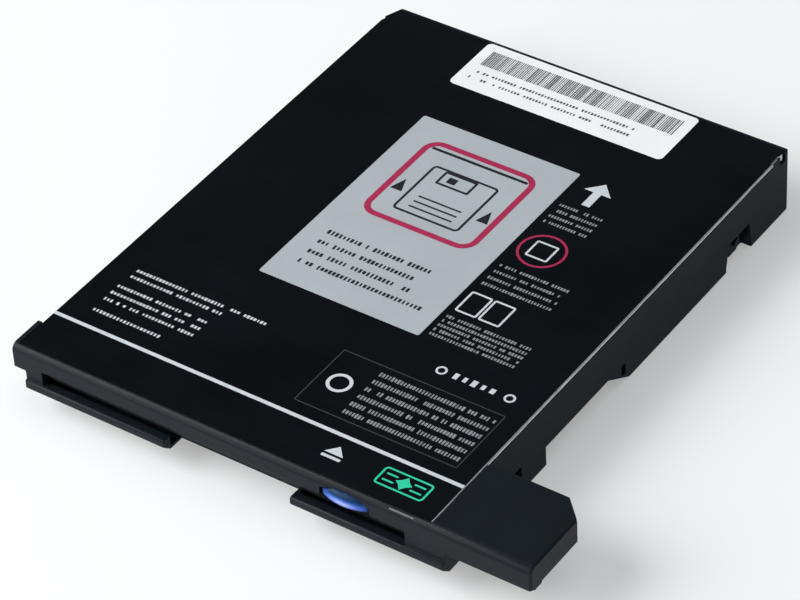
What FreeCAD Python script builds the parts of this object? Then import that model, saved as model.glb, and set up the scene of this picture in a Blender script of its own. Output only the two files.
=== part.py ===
import FreeCAD, Part
import Sketcher
import math
import os
import re

# Slim 3.5-inch floppy disk drive, made as a removable module for a portable computer's bay.
# Millimetres. +X is to the right seen from the front, +Y to the back, +Z up. The origin is under the
# middle of the whole outline, on the plane that the drive lies on. "Half" sizes are measured from the
# disk's centre line, which is the middle of the tray and lies left of the origin by the bay block.

SIZES = [
    # The disk, which sets the width of everything round it
    ("disk_width", "90"),
    ("disk_length", "94"),
    ("disk_thick", "3.3"),
    ("disk_inset", "1.4"),
    # Widths, from the disk outwards
    ("holder_play", "0.3"),
    ("holder_sheet", "0.6"),
    ("slide_gap", "0.4"),
    ("slide_sheet", "0.6"),
    ("chassis_sheet", "0.8"),
    ("side_gap", "2.4"),
    ("wall", "1.8"),
    ("holder_in", "=disk_width / 2 + holder_play"),
    ("holder_out", "=holder_in + holder_sheet"),
    ("slide_in", "=holder_out + slide_gap"),
    ("slide_out", "=slide_in + slide_sheet"),
    ("chassis_in", "=slide_out + slide_gap"),
    ("chassis_out", "=chassis_in + chassis_sheet"),
    ("case_in", "=chassis_out + side_gap"),
    ("case_half", "=case_in + wall"),
    ("bezel_overhang", "1.2"),
    ("block_reach", "23.8"),
    ("mid", "=(bezel_overhang - block_reach) / 2"),
    # Heights, from the table up
    ("floor", "1.2"),
    ("board_gap", "0.8"),
    ("board_thick", "1"),
    ("board_room", "1"),
    ("datum_rise", "1.7"),
    ("load_drop", "2"),
    ("rail_play", "0.1"),
    ("slot_play", "0.3"),
    ("roof_play", "0.4"),
    ("slide_lift", "0.5"),
    ("head_room", "2.2"),
    ("lid_sheet", "0.6"),
    ("board_low", "=floor + board_gap"),
    ("board_top", "=board_low + board_thick"),
    ("chassis_low", "=board_top + board_room"),
    ("chassis_top", "=chassis_low + chassis_sheet"),
    ("disk_low", "=chassis_top + datum_rise"),
    ("rail_top", "=disk_low + load_drop - rail_play"),
    ("slot_high", "=rail_top + disk_thick + slot_play"),
    ("holder_roof", "=rail_top + disk_thick + roof_play"),
    ("holder_top", "=holder_roof + holder_sheet"),
    ("slide_low", "=holder_top + slide_lift"),
    ("slide_top", "=slide_low + slide_sheet"),
    ("lid_under", "=slide_top + head_room"),
    ("height", "=lid_under + lid_sheet"),
    # Depths, from the front lip back: disk, carriage, nut, stepper and connector stand in line
    ("bezel_depth", "10"),
    ("lip_proud", "0.8"),
    ("track_travel", "14.8"),
    ("hinge_room", "3.7"),
    ("nut_room", "7.5"),
    ("bracket", "0.8"),
    ("stepper_long", "10.6"),
    ("plug_gap", "0.6"),
    ("plug_long", "8.4"),
    ("works", "=track_travel + hinge_room + nut_room + bracket + stepper_long + plug_gap + plug_long"),
    ("back", "=(disk_inset + disk_length + works) / 2"),
    ("lip_face", "=-back"),
    ("face", "=lip_face + lip_proud"),
    ("tray_front", "=lip_face + bezel_depth"),
    ("spindle_y", "=lip_face + disk_inset + disk_length / 2"),
    ("disk_end", "=lip_face + disk_inset + disk_length"),
    # Tray
    ("corner_wide", "1.8"),
    ("corner_long", "4.5"),
    ("liner", "1"),
    ("fit", "0.2"),
    ("groove_start", "33"),
    ("groove_flat", "23.7"),
    ("groove_slope", "8.6"),
    ("groove_high", "5.1"),
    ("groove_deep", "=case_half - chassis_out - fit - liner"),
    ("slit_start", "29.3"),
    ("slit_long", "1.5"),
    ("slit_low", "2.2"),
    ("slit_high", "2.8"),
    ("port_start", "20.9"),
    ("port_long", "2.8"),
    ("port_low", "4"),
    ("port_high", "2.6"),
    ("recess_back", "15.9"),
    ("recess_long", "10.5"),
    ("recess_high", "7.1"),
    ("recess_deep", "2.6"),
    ("catch_thick", "1.4"),
    ("catch_front", "2.2"),
    ("catch_long", "5.2"),
    ("catch_knob", "1.1"),
    ("sill_drop", "0.4"),
    ("rib_thick", "0.8"),
    ("rib_high", "0.6"),
    ("rib_first", "14"),
    ("rib_run", "45"),
    ("rib_count", "6"),
    ("boss_half", "3"),
    ("boss_inset", "10.5"),
    ("boss_front", "15.9"),
    ("boss_back", "30"),
    ("boss_x", "=case_in - boss_inset"),
    ("post_half", "2.4"),
    ("post_inset", "19.5"),
    ("post_front", "8.5"),
    ("post_back", "6.5"),
    ("post_x", "=case_in - post_inset"),
    # Lid
    ("lid_margin", "0.1"),
    ("lid_setback", "1.1"),
    ("crest", "0.55"),
    ("crest_run", "6.4"),
    ("crest_drop", "0.05"),
    ("clip_back", "1.9"),
    ("clip_long", "1.3"),
    ("clip_drop", "1.3"),
    ("clip_gap", "0.35"),
    ("clip_inset", "0.5"),
    ("rim_deep", "2.4"),
    ("rim_start", "18"),
    ("rim_end", "16"),
    # Front moulding and the bay block at its right
    ("bezel_wall", "1.6"),
    ("soft_edge", "1.8"),
    ("small_edge", "0.6"),
    ("slot_margin", "1"),
    ("cheek_inset", "3"),
    ("lip_high", "3.7"),
    ("lip_right", "3.4"),
    ("lip_nose", "1.8"),
    ("undercut", "2.2"),
    ("chin_floor", "0.9"),
    ("finger_wide", "32"),
    ("finger_centre", "2.2"),
    ("finger_deep", "6.9"),
    ("block_high", "6.1"),
    ("block_edge", "0.5"),
    ("block_long", "21.6"),
    ("block_corner", "4.7"),
    ("block_gap", "0.1"),
    ("shell", "1.6"),
    ("tongue_high", "4.5"),
    ("tongue_long", "4.4"),
    ("tongue_low", "=chassis_top + 2"),
    ("plate", "1.2"),
    ("plate_play", "0.1"),
    ("foot_drop", "0.5"),
    ("foot_front", "1.2"),
    ("foot_long", "2.8"),
    ("block_low", "=height - block_high"),
    ("block_back", "=face + block_long"),
    ("lip_low", "=rail_top - lip_high"),
    ("block_right", "=case_half + block_reach"),
    # Button and light
    ("button_wide", "11.8"),
    ("button_high", "3.3"),
    ("button_deep", "2.3"),
    ("button_bow", "1.4"),
    ("button_corner", "1.4"),
    ("button_top", "0.95"),
    ("button_base", "0.35"),
    ("button_play", "0.15"),
    ("stem_wide", "7"),
    ("tongue_wide", "4.8"),
    ("eject_travel", "5"),
    ("pipe_inset", "5.9"),
    ("pipe_wide", "6"),
    ("pipe_gap", "4.8"),
    ("pipe_start", "=chassis_out - pipe_inset"),
    ("button_centre", "=pipe_start - pipe_gap - button_wide / 2"),
    ("pipe_thick", "0.33"),
    ("pipe_sink", "0.42"),
    ("pipe_foot", "1.2"),
    ("chamber_high", "2.6"),
    ("pipe_play", "0.05"),
    ("light_wide", "2.6"),
    ("light_high", "1"),
    # Dust flap
    ("flap_barrel", "0.5"),
    ("flap_pin", "0.35"),
    ("pin_play", "0.05"),
    ("flap_thick", "0.6"),
    ("flap_drop", "3.65"),
    ("ear", "1.2"),
    ("flap_y", "=face + bezel_wall + flap_barrel + 2 * fit"),
    ("flap_z", "=slot_high + flap_barrel - pin_play"),
    # Disk holder and eject slide
    ("rail_wide", "6"),
    ("flap_gap", "0.75"),
    ("holder_front", "=flap_y + flap_drop + flap_gap"),
    ("rail_edge", "=holder_out - rail_wide - holder_sheet"),
    ("holder_tail", "1.5"),
    ("head_slot", "15"),
    ("guide_radius", "0.9"),
    ("guide_play", "0.2"),
    ("guide_front", "25.5"),
    ("guide_back", "30.5"),
    ("guide_z", "=disk_low + load_drop + 1.1"),
    ("guide_reach", "0.3"),
    ("slide_front", "=tray_front"),
    ("slide_short", "4.5"),
    ("slide_back", "=disk_end - slide_short"),
    ("flange_front", "=tray_front + eject_travel + 0.5"),
    ("flange_back", "=slide_back - 3"),
    ("flange_low", "=guide_z - load_drop - guide_radius - 0.6"),
    ("spring_radius", "0.85"),
    ("spring_long", "20"),
    ("spring_inset", "3.3"),
    ("spring_x", "=slide_in - spring_inset"),
    ("hook_thick", "0.8"),
    ("chassis_gap", "0.6"),
    ("chassis_front", "=tray_front + wall + chassis_gap"),
    ("chassis_tail", "11"),
    ("fence_tail", "15.5"),
    ("window_wide", "40"),
    ("fence_gap", "0.2"),
    # Shutter lever
    ("lever_inset", "7.9"),
    ("lever_back", "8.5"),
    ("lever_clear", "4.5"),
    ("lever_x", "=lever_inset - holder_out"),
    ("lever_y", "=disk_end - lever_back"),
    ("lever_long", "=holder_out - lever_inset - head_slot / 2 - lever_clear"),
    ("lever_rest", "-40"),
    ("lever_thick", "0.55"),
    ("lever_hub", "3"),
    ("lever_pin", "1.1"),
    ("rivet_radius", "1.2"),
    ("rivet_head", "2.2"),
    ("lever_low", "=holder_top + pin_play"),
    # Spindle motor
    ("motor_board", "0.8"),
    ("motor_reach", "5.5"),
    ("motor_corner", "6"),
    ("motor_gap", "3.5"),
    ("rotor_radius", "21.5"),
    ("rotor_disc", "0.6"),
    ("rotor_rim", "1.1"),
    ("magnet_thick", "1.2"),
    ("hub_radius", "12"),
    ("hub_thick", "0.6"),
    ("shaft_radius", "1.5"),
    ("bearing_radius", "4.2"),
    ("bearing_foot", "2"),
    ("stator_poles", "12"),
    ("air_gap", "1.2"),
    ("stator_radius", "=rotor_radius - rotor_rim - magnet_thick - air_gap"),
    ("stator_hub", "8.5"),
    ("stator_bore", "=bearing_radius + pin_play"),
    ("stator_thick", "0.7"),
    ("tooth_wide", "2"),
    ("coil_wall", "0.3"),
    ("rotor_top", "=disk_low - hub_thick / 2"),
    ("hub_top", "=disk_low + hub_thick / 2"),
    # Head carriage
    ("track_margin", "7.5"),
    ("head_y", "=disk_end - track_margin"),
    ("arm_half", "5.5"),
    ("hinge_behind", "=track_margin + track_travel + hinge_room"),
    ("hinge_y", "=head_y + hinge_behind"),
    ("hinge_z", "=disk_low + 4.1"),
    ("arm_tilt", "9.1"),
    ("rod_x", "13"),
    ("rod_radius", "1"),
    ("rod_long", "41.5"),
    ("rod_front", "=head_y - 9"),
    ("rod_z", "=chassis_top - 0.2"),
    ("clamp_long", "2.4"),
    ("clamp_half", "2.1"),
    ("clamp_high", "3"),
    ("clamp_sink", "1.6"),
    ("clamp_foot", "6.5"),
    ("clamp_tab", "1"),
    ("screw_x", "-14"),
    ("lead_radius", "1.2"),
    ("screw_z", "7.4"),
    ("stepper_radius", "5.4"),
    ("stepper_ear", "4.1"),
    ("stepper_seat", "2.9"),
    ("stepper_foot", "5"),
    ("stepper_front", "=hinge_y + nut_room"),
    ("chassis_back", "=stepper_front + chassis_tail"),
    # Switches that feel the disk's holes
    ("switch_inset", "4.8"),
    ("switch_step", "9"),
    ("switch_wide", "4"),
    ("switch_long", "3"),
    ("switch_high", "1.6"),
    ("switch_strip", "4.2"),
    ("plunger_radius", "0.7"),
    ("plunger_rise", "1"),
    ("switch_x", "=holder_in - switch_inset"),
    ("switch_y", "=chassis_front + fit + switch_long / 2"),
    # Posts under the disk, chips and the flat cable
    ("datum_inset", "6.3"),
    ("datum_radius", "2.4"),
    ("datum_gap", "0.4"),
    ("datum_back", "7"),
    ("datum_pin", "1.5"),
    ("datum_x", "=rail_edge - datum_inset"),
    ("datum_y", "=switch_y + switch_long / 2 + datum_gap + datum_radius"),
    ("chip_long", "10"),
    ("chip_wide", "7"),
    ("chip_high", "0.8"),
    ("chip_gap", "3"),
    ("cable_wide", "9"),
    ("cable_lap", "2"),
    ("cable_x", "=rotor_radius + motor_reach - motor_corner + cable_lap - cable_wide"),
    # Connector
    ("plug_wide", "56"),
    ("plug_high", "5.6"),
    ("contact_count", "25"),
    ("contact_wide", "0.8"),
    ("contact_inset", "4"),
    ("blade_high", "1"),
    ("plug_wall", "1.1"),
    ("plug_back", "1.6"),
]

VECTOR = FreeCAD.Vector
NAMES = {name for name, text in SIZES}

doc = FreeCAD.newDocument("floppy_disk_drive")
sheet = doc.addObject("Spreadsheet::Sheet", "sizes")
for row, (name, text) in enumerate(SIZES, 1):
    sheet.set(f"A{row}", name)
    sheet.set(f"B{row}", text)
    sheet.setAlias(f"B{row}", name)
doc.recompute()

pieces = []


def link(text):
    """An expression in the sheet's words, as another object of the document writes it."""
    return re.sub(r"[a-z][a-z_0-9]*", lambda word: "sizes." + word[0] if word[0] in NAMES else word[0], text)


def number(text):
    """The present value of such an expression."""
    return float(sheet.evalExpression(link(text)))


def bind(thing, path, text):
    thing.setExpression(path, link(text))


def place(thing, x="0", y="0", z="0"):
    for axis, text in zip("xyz", (x, y, z)):
        bind(thing, "Placement.Base." + axis, text)


def keep(thing, label):
    """Makes a document object a sub-part of the drive."""
    thing.Label = label
    pieces.append(thing)
    return thing


# Closed loops of a sketch, each tied to the sheet


def hold(sketch, index, point, pair):
    """Holds a point of the sketch at a pair of expressions, measured from the sketch's origin."""
    for way, text in zip(("DistanceX", "DistanceY"), pair):
        rule = sketch.addConstraint(Sketcher.Constraint(way, -1, 1, index, point, number(text)))
        bind(sketch, f"Constraints[{rule}]", text)


def polygon(*points):
    def draw(sketch):
        spots = [VECTOR(number(x), number(y), 0) for x, y in points]
        count = len(spots)
        lines = [
            sketch.addGeometry(Part.LineSegment(spots[n], spots[(n + 1) % count]), False)
            for n in range(count)
        ]
        for n in range(count):
            follower = lines[(n + 1) % count]
            sketch.addConstraint(Sketcher.Constraint("Coincident", lines[n], 2, follower, 1))
        for n in range(count):
            hold(sketch, lines[n], 1, points[n])

    return draw


def rectangle(x_low, x_high, y_low, y_high):
    return polygon((x_low, y_low), (x_high, y_low), (x_high, y_high), (x_low, y_high))


def square(x, y, half):
    return rectangle(f"{x} - {half}", f"{x} + {half}", f"{y} - {half}", f"{y} + {half}")


def circle(x, y, radius):
    def draw(sketch):
        centre = VECTOR(number(x), number(y), 0)
        ring = sketch.addGeometry(Part.Circle(centre, VECTOR(0, 0, 1), number(radius)), False)
        hold(sketch, ring, 3, (x, y))
        rule = sketch.addConstraint(Sketcher.Constraint("Radius", ring, number(radius)))
        bind(sketch, f"Constraints[{rule}]", radius)

    return draw


def lens(half, back, bow):
    """A flat back and two sides, with a front that bows out between them to the sketch's X axis."""

    def draw(sketch):
        corners = ((f"-({half})", bow), (f"-({half})", back), (half, back), (half, bow))
        spots = [VECTOR(number(x), number(y), 0) for x, y in corners]
        lines = [sketch.addGeometry(Part.LineSegment(spots[n], spots[n + 1]), False) for n in range(3)]
        curve = f"(({half}) ^ 2 + ({bow}) ^ 2) / (2 * ({bow}))"
        size = number(curve)
        turn = math.asin(number(half) / size)
        whole = Part.Circle(VECTOR(0, size, 0), VECTOR(0, 0, 1), size)
        front = Part.ArcOfCircle(whole, 1.5 * math.pi - turn, 1.5 * math.pi + turn)
        arc = sketch.addGeometry(front, False)
        joints = (
            (lines[0], 2, lines[1], 1), (lines[1], 2, lines[2], 1),
            (lines[2], 2, arc, 2), (lines[0], 1, arc, 1),
        )
        for first, end, second, start in joints:
            sketch.addConstraint(Sketcher.Constraint("Coincident", first, end, second, start))
        for n in range(3):
            hold(sketch, lines[n], 1, corners[n])
        hold(sketch, lines[2], 2, corners[3])
        rule = sketch.addConstraint(Sketcher.Constraint("Radius", arc, size))
        bind(sketch, f"Constraints[{rule}]", curve)

    return draw


class Body:
    """One sub-part made of sketches and features in its own frame, placed by the sheet."""

    def __init__(self, label, x="mid", y="0", z="0"):
        self.body = keep(doc.addObject("PartDesign::Body", label), label)
        place(self.body, x, y, z)

    def origin(self, role):
        return next(f for f in self.body.Origin.OriginFeatures if f.Role == role)

    def sketch(self, plane, low, loops):
        """Plane XY, XZ or YZ, moved to the height `low` along the third axis."""
        sketch = self.body.newObject("Sketcher::SketchObject", "Sketch")
        sketch.AttachmentSupport = [(self.origin(plane + "_Plane"), "")]
        sketch.MapMode = "FlatFace"
        sign = "-1" if plane == "XZ" else "1"
        bind(sketch, "AttachmentOffset.Base.z", f"{sign} * ({low})")
        for loop in loops:
            loop(sketch)
        return sketch

    def pad(self, plane, low, length, *loops):
        """Adds the loops, drawn from `low` for `length` towards the third axis."""
        feature = self.body.newObject("PartDesign::Pad", "Pad")
        feature.Profile = self.sketch(plane, low, loops)
        bind(feature, "Length", length)
        feature.Reversed = plane == "XZ"
        doc.recompute()
        return feature

    def pocket(self, plane, low, length, *loops):
        """Cuts the loops, drawn from `low` for `length` towards the third axis."""
        feature = self.body.newObject("PartDesign::Pocket", "Pocket")
        feature.Profile = self.sketch(plane, low, loops)
        bind(feature, "Length", length)
        feature.Reversed = plane != "XZ"
        doc.recompute()
        return feature

    def revolve(self, *loops):
        """Turns loops of the XZ plane, at X above 0, once round the Z axis."""
        feature = self.body.newObject("PartDesign::Revolution", "Revolution")
        feature.Profile = self.sketch("XZ", "0", loops)
        feature.ReferenceAxis = (self.origin("Z_Axis"), [""])
        feature.Angle = 360
        doc.recompute()
        return feature

    def mirror(self, *features):
        """Repeats features on the other side of the centre line."""
        copy = self.body.newObject("PartDesign::Mirrored", "Mirrored")
        copy.Originals = list(features)
        copy.MirrorPlane = (self.origin("YZ_Plane"), [""])
        self.body.Tip = copy
        doc.recompute()
        return copy

    def around(self, count, *features):
        """Repeats features evenly round the Z axis."""
        copy = self.body.newObject("PartDesign::PolarPattern", "PolarPattern")
        copy.Originals = list(features)
        copy.Axis = (self.origin("Z_Axis"), [""])
        copy.Angle = 360
        bind(copy, "Occurrences", count)
        self.body.Tip = copy
        doc.recompute()
        return copy

    def row(self, axis, length, count, *features):
        """Repeats features evenly over a length along an axis."""
        copy = self.body.newObject("PartDesign::LinearPattern", "LinearPattern")
        copy.Originals = list(features)
        copy.Direction = (self.origin(axis + "_Axis"), [""])
        bind(copy, "Length", length)
        bind(copy, "Occurrences", count)
        self.body.Tip = copy
        doc.recompute()
        return copy

    def pick(self, kind, spots):
        """Edges of the tip on one kind of curve, whose middles have the given coordinates."""
        found = {}
        for index, edge in enumerate(self.body.Tip.Shape.Edges, 1):
            if not isinstance(edge.Curve, kind):
                continue
            middle = edge.CenterOfMass
            if all(abs(getattr(middle, axis) - number(text)) < 0.02 for axis, text in spots.items()):
                found[f"Edge{index}"] = edge.Curve
        return found

    def edges(self, way, **spots):
        """Straight edges along an axis."""
        found = self.pick(Part.Line, spots)
        return [name for name, line in found.items() if abs(getattr(line.Direction, way)) > 0.999]

    def arcs(self, **spots):
        """Round edges."""
        return list(self.pick(Part.Circle, spots))

    def soften(self, kind, path, size, groups):
        base = self.body.Tip
        feature = self.body.newObject("PartDesign::" + kind, kind)
        feature.Base = (base, sorted({name for found in groups for name in found}))
        bind(feature, path, size)
        doc.recompute()
        return feature

    def round(self, radius, *groups):
        return self.soften("Fillet", "Radius", radius, groups)

    def chamfer(self, size, *groups):
        """Bevels edges and the edges that run on smoothly from them."""
        return self.soften("Chamfer", "Size", size, groups)


def cylinder(radius, length, x, y, z, way="z"):
    """A plain round rod from a point along +X, +Y or +Z, for pins and screws."""
    rod = doc.addObject("Part::Cylinder", "Rod")
    bind(rod, "Radius", radius)
    bind(rod, "Height", length)
    turns = {
        "x": FreeCAD.Rotation(VECTOR(0, 1, 0), 90),
        "y": FreeCAD.Rotation(VECTOR(1, 0, 0), -90),
        "z": FreeCAD.Rotation(),
    }
    rod.Placement = FreeCAD.Placement(VECTOR(), turns[way])
    place(rod, x, y, z)
    return rod


def prism(sides, radius, length, x, y, z):
    """An upright post with flat sides."""
    post = doc.addObject("Part::Prism", "Post")
    post.Polygon = sides
    bind(post, "Circumradius", radius)
    bind(post, "Height", length)
    place(post, x, y, z)
    return post


def box(long, wide, high, x, y, z):
    block = doc.addObject("Part::Box", "Block")
    bind(block, "Length", long)
    bind(block, "Width", wide)
    bind(block, "Height", high)
    place(block, x, y, z)
    return block


def fuse(*shapes):
    union = doc.addObject("Part::MultiFuse", "Union")
    union.Shapes = list(shapes)
    return union


def cut(base, tool):
    result = doc.addObject("Part::Cut", "Cut")
    result.Base = base
    result.Tool = tool
    return result


def group(label, members):
    """Like pieces that share one sub-part, each a solid of its own."""
    bundle = doc.addObject("Part::Compound", label)
    bundle.Links = list(members)
    return keep(bundle, label)


def both(text):
    """The two places mirrored about the centre line."""
    return (f"mid - ({text})", f"mid + ({text})")


def cut_corner(inset, side):
    """The tray's cut corner, inset square to its slope, from the inset back edge to an inset side."""
    lean = "(corner_wide / corner_long)"
    shift = f"(({inset}) * sqrt(1 + {lean} ^ 2))"
    return (
        (f"-case_half + corner_wide + {shift} - ({inset}) * {lean}", f"back - ({inset})"),
        (f"-case_half + ({side})", f"back - corner_long + (({side}) - {shift}) / {lean}"),
    )


BOSS_ROWS = ("tray_front + boss_front", "back - boss_back")
POST_ROWS = ("disk_end - post_front", "back - post_back")
GUIDE_ROWS = ("spindle_y - guide_front", "spindle_y + guide_back")


def make_tray():
    """Moulded tray: side walls, floor, bay groove, catch recess, bosses and posts."""
    tray = Body("bottom_case")
    tray.pad(
        "XY", "0", "lid_under",
        polygon(
            ("-case_half", "tray_front"), ("case_half", "tray_front"), ("case_half", "back"),
            ("-case_half + corner_wide", "back"), ("-case_half", "back - corner_long"),
        ),
    )
    tray.pocket(
        "XY", "floor", "height",
        polygon(
            ("-case_in", "tray_front + wall"), ("case_in", "tray_front + wall"),
            ("case_in", "back - wall"), ("-case_in + corner_wide", "back - wall"),
            ("-case_in", "back - wall - corner_long"),
        ),
    )
    # Low rim behind the lid, open where the lid's clip comes down
    inner_corner = cut_corner("crest", "crest")
    tray.pad(
        "XY", "lid_under - small_edge", "small_edge + lid_sheet - crest_drop",
        polygon(
            ("case_half", "back - crest_run"), ("case_half", "back"), *cut_corner("0", "0"),
            inner_corner[1], inner_corner[0],
            ("case_half - crest", "back - crest"), ("case_half - crest", "back - crest_run"),
        ),
    )
    tray.pocket(
        "XY", "lid_under - clip_drop - clip_gap", "height",
        rectangle(
            "case_half - clip_inset - lid_sheet - clip_gap", "case_half + wall",
            "back - clip_back - clip_long - clip_gap", "back - clip_back + clip_gap",
        ),
    )
    # Inner walls behind the groove and the recess, so that the tray stays closed there
    groove = "tray_front + groove_start"
    tray.pad(
        "XY", "floor / 2", "groove_high + liner - floor / 2",
        rectangle(
            "case_half - groove_deep - liner", "case_half - wall / 2",
            f"{groove} - liner", f"{groove} + groove_flat + groove_slope + liner",
        ),
    )
    tray.pocket(
        "YZ", "case_half - groove_deep", "groove_deep + wall",
        polygon(
            (groove, "-floor"), (groove, "groove_high"),
            (f"{groove} + groove_flat", "groove_high"),
            (f"{groove} + groove_flat + groove_slope", "0"),
            (f"{groove} + groove_flat + groove_slope", "-floor"),
        ),
    )
    recess_end = "back - recess_back"
    recess = f"{recess_end} - recess_long"
    tray.pad(
        "XY", "floor / 2", "recess_high + liner - floor / 2",
        rectangle(
            "case_half - recess_deep - liner", "case_half - wall / 2",
            f"{recess} - liner", f"{recess_end} + liner",
        ),
    )
    tray.pocket(
        "YZ", "case_half - recess_deep", "recess_deep + wall",
        polygon(
            (recess, "-floor"), (recess, "floor"), (f"{recess} + liner", "recess_high"),
            (f"{recess_end} - liner", "recess_high"), (recess_end, "floor"), (recess_end, "-floor"),
        ),
    )
    # Blind slit over the groove's slope and a port in front of the groove
    tray.pocket(
        "YZ", "case_half - wall - liner", "wall + 2 * liner",
        rectangle(
            f"{groove} + slit_start", f"{groove} + slit_start + slit_long", "slit_low", "slit_low + slit_high"
        ),
    )
    tray.pocket(
        "YZ", "case_half - 2 * wall", "3 * wall",
        rectangle(
            "tray_front + port_start", "tray_front + port_start + port_long",
            "port_low", "port_low + port_high",
        ),
    )
    # Two openings through the back of the recess, either side of the catch
    tray.pocket(
        "YZ", "case_half - recess_deep - 2 * liner", "3 * liner",
        rectangle(f"{recess} + liner", f"{recess} + catch_front - fit", "floor + liner", "recess_high - liner"),
        rectangle(
            f"{recess} + catch_front + catch_long + fit", f"{recess_end} - liner",
            "floor + liner", "recess_high - liner",
        ),
    )
    # The mouth that the disk and its holder pass through
    tray.pocket(
        "XZ", "tray_front - wall", "3 * wall",
        rectangle(
            "-chassis_in", "chassis_in", "rail_top - holder_sheet - load_drop - sill_drop", "height"
        ),
    )
    # Opening of the rear connector
    tray.pocket(
        "XZ", "back - 2 * wall", "3 * wall",
        rectangle(
            "-plug_wide / 2 - fit", "plug_wide / 2 + fit", "board_top - fit", "board_top + plug_high + fit"
        ),
    )
    # Slots in the front wall for the front moulding's tongues
    slots = tray.pocket(
        "XZ", "tray_front - wall", "3 * wall",
        rectangle("chassis_out + fit", "case_in", "tongue_low - pin_play", "tongue_low + tongue_high + fit"),
    )
    tray.mirror(slots)
    ribs = tray.pad(
        "XY", "floor / 2", "floor / 2 + rib_high",
        rectangle(
            "-post_x", "post_x", "tray_front + rib_first", "tray_front + rib_first + rib_thick"
        ),
    )
    tray.row("Y", "rib_run", "rib_count", ribs)
    bosses = tray.pad(
        "XY", "floor / 2", "chassis_low - floor / 2",
        *[square("boss_x", row, "boss_half") for row in BOSS_ROWS],
    )
    tray.mirror(bosses)
    posts = tray.pad(
        "XY", "floor / 2", "board_low - floor / 2",
        *[square("post_x", row, "post_half") for row in POST_ROWS],
    )
    tray.mirror(posts)
    tray.round(
        "small_edge",
        tray.edges("z", x="case_half", y="back"),
        tray.edges("y", x="-case_half", z="0"),
    )


def make_catch():
    """Small moulded catch that stands in the recess of the right side."""
    catch = Body("side_catch")
    front = "back - recess_back - recess_long + catch_front"
    rear = f"{front} + catch_long"
    low = "floor + small_edge"
    high = "recess_high - small_edge"
    catch.pad(
        "YZ", "case_half - recess_deep", "catch_thick",
        polygon(
            (f"{front} + small_edge", low), (f"{rear} - catch_thick", low), (rear, f"{low} + catch_thick"),
            (rear, f"{high} - small_edge"), (f"{front} + catch_thick", high), (front, f"{high} - catch_thick"),
        ),
    )
    catch.pad(
        "YZ", "case_half - recess_deep", "recess_deep - fit",
        circle(f"{front} + catch_long / 2", f"{high} - catch_thick", "catch_knob"),
    )


def make_lid():
    """Flat sheet cover with turned-down rims that drop inside the tray's walls."""
    lid = Body("top_cover")
    edge = "case_half - lid_margin"
    inset = "crest + lid_margin"
    lid.pad(
        "XY", "lid_under", "lid_sheet",
        polygon(
            (f"-({edge})", "face + lid_setback"), (edge, "face + lid_setback"),
            (edge, "back - crest_run - lid_margin"),
            (f"case_half - ({inset})", "back - crest_run - lid_margin"),
            (f"case_half - ({inset})", f"back - ({inset})"), *cut_corner(inset, "lid_margin"),
        ),
    )
    # Clip that folds down into its notch in the tray's wall
    clip = ("back - clip_back - clip_long", "back - clip_back")
    fold = "case_half - clip_inset"
    lid.pad("XY", "lid_under", "lid_sheet", rectangle(f"{fold} - 2 * lid_sheet", fold, *clip))
    lid.pad(
        "XY", "lid_under - clip_drop", "clip_drop + lid_sheet", rectangle(f"{fold} - lid_sheet", fold, *clip)
    )
    rim = lid.pad(
        "XY", "lid_under - rim_deep", "rim_deep + lid_sheet / 2",
        rectangle(
            "case_in - fit - lid_sheet", "case_in - fit",
            "tray_front + rim_start", "back - rim_end",
        ),
    )
    lid.mirror(rim)
    lid.pad(
        "XY", "lid_under - rim_deep", "rim_deep + lid_sheet / 2",
        rectangle(
            "-case_in + 8", "case_in - 8",
            "back - wall - fit - lid_sheet", "back - wall - fit",
        ),
    )


def block_outline(inset):
    """Outline of the bay block's hollow, inset from its outer faces."""
    return polygon(
        ("case_half + lip_right + shell / 2 + " + inset, "face + shell + " + inset),
        ("block_right - shell - " + inset, "face + shell + " + inset),
        ("block_right - shell - " + inset, "block_back - block_corner - shell / 2 - " + inset),
        ("block_right - block_corner - shell / 2 - " + inset, "block_back - shell - " + inset),
        ("case_half + lip_right + shell / 2 + " + inset, "block_back - shell - " + inset),
    )


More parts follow.
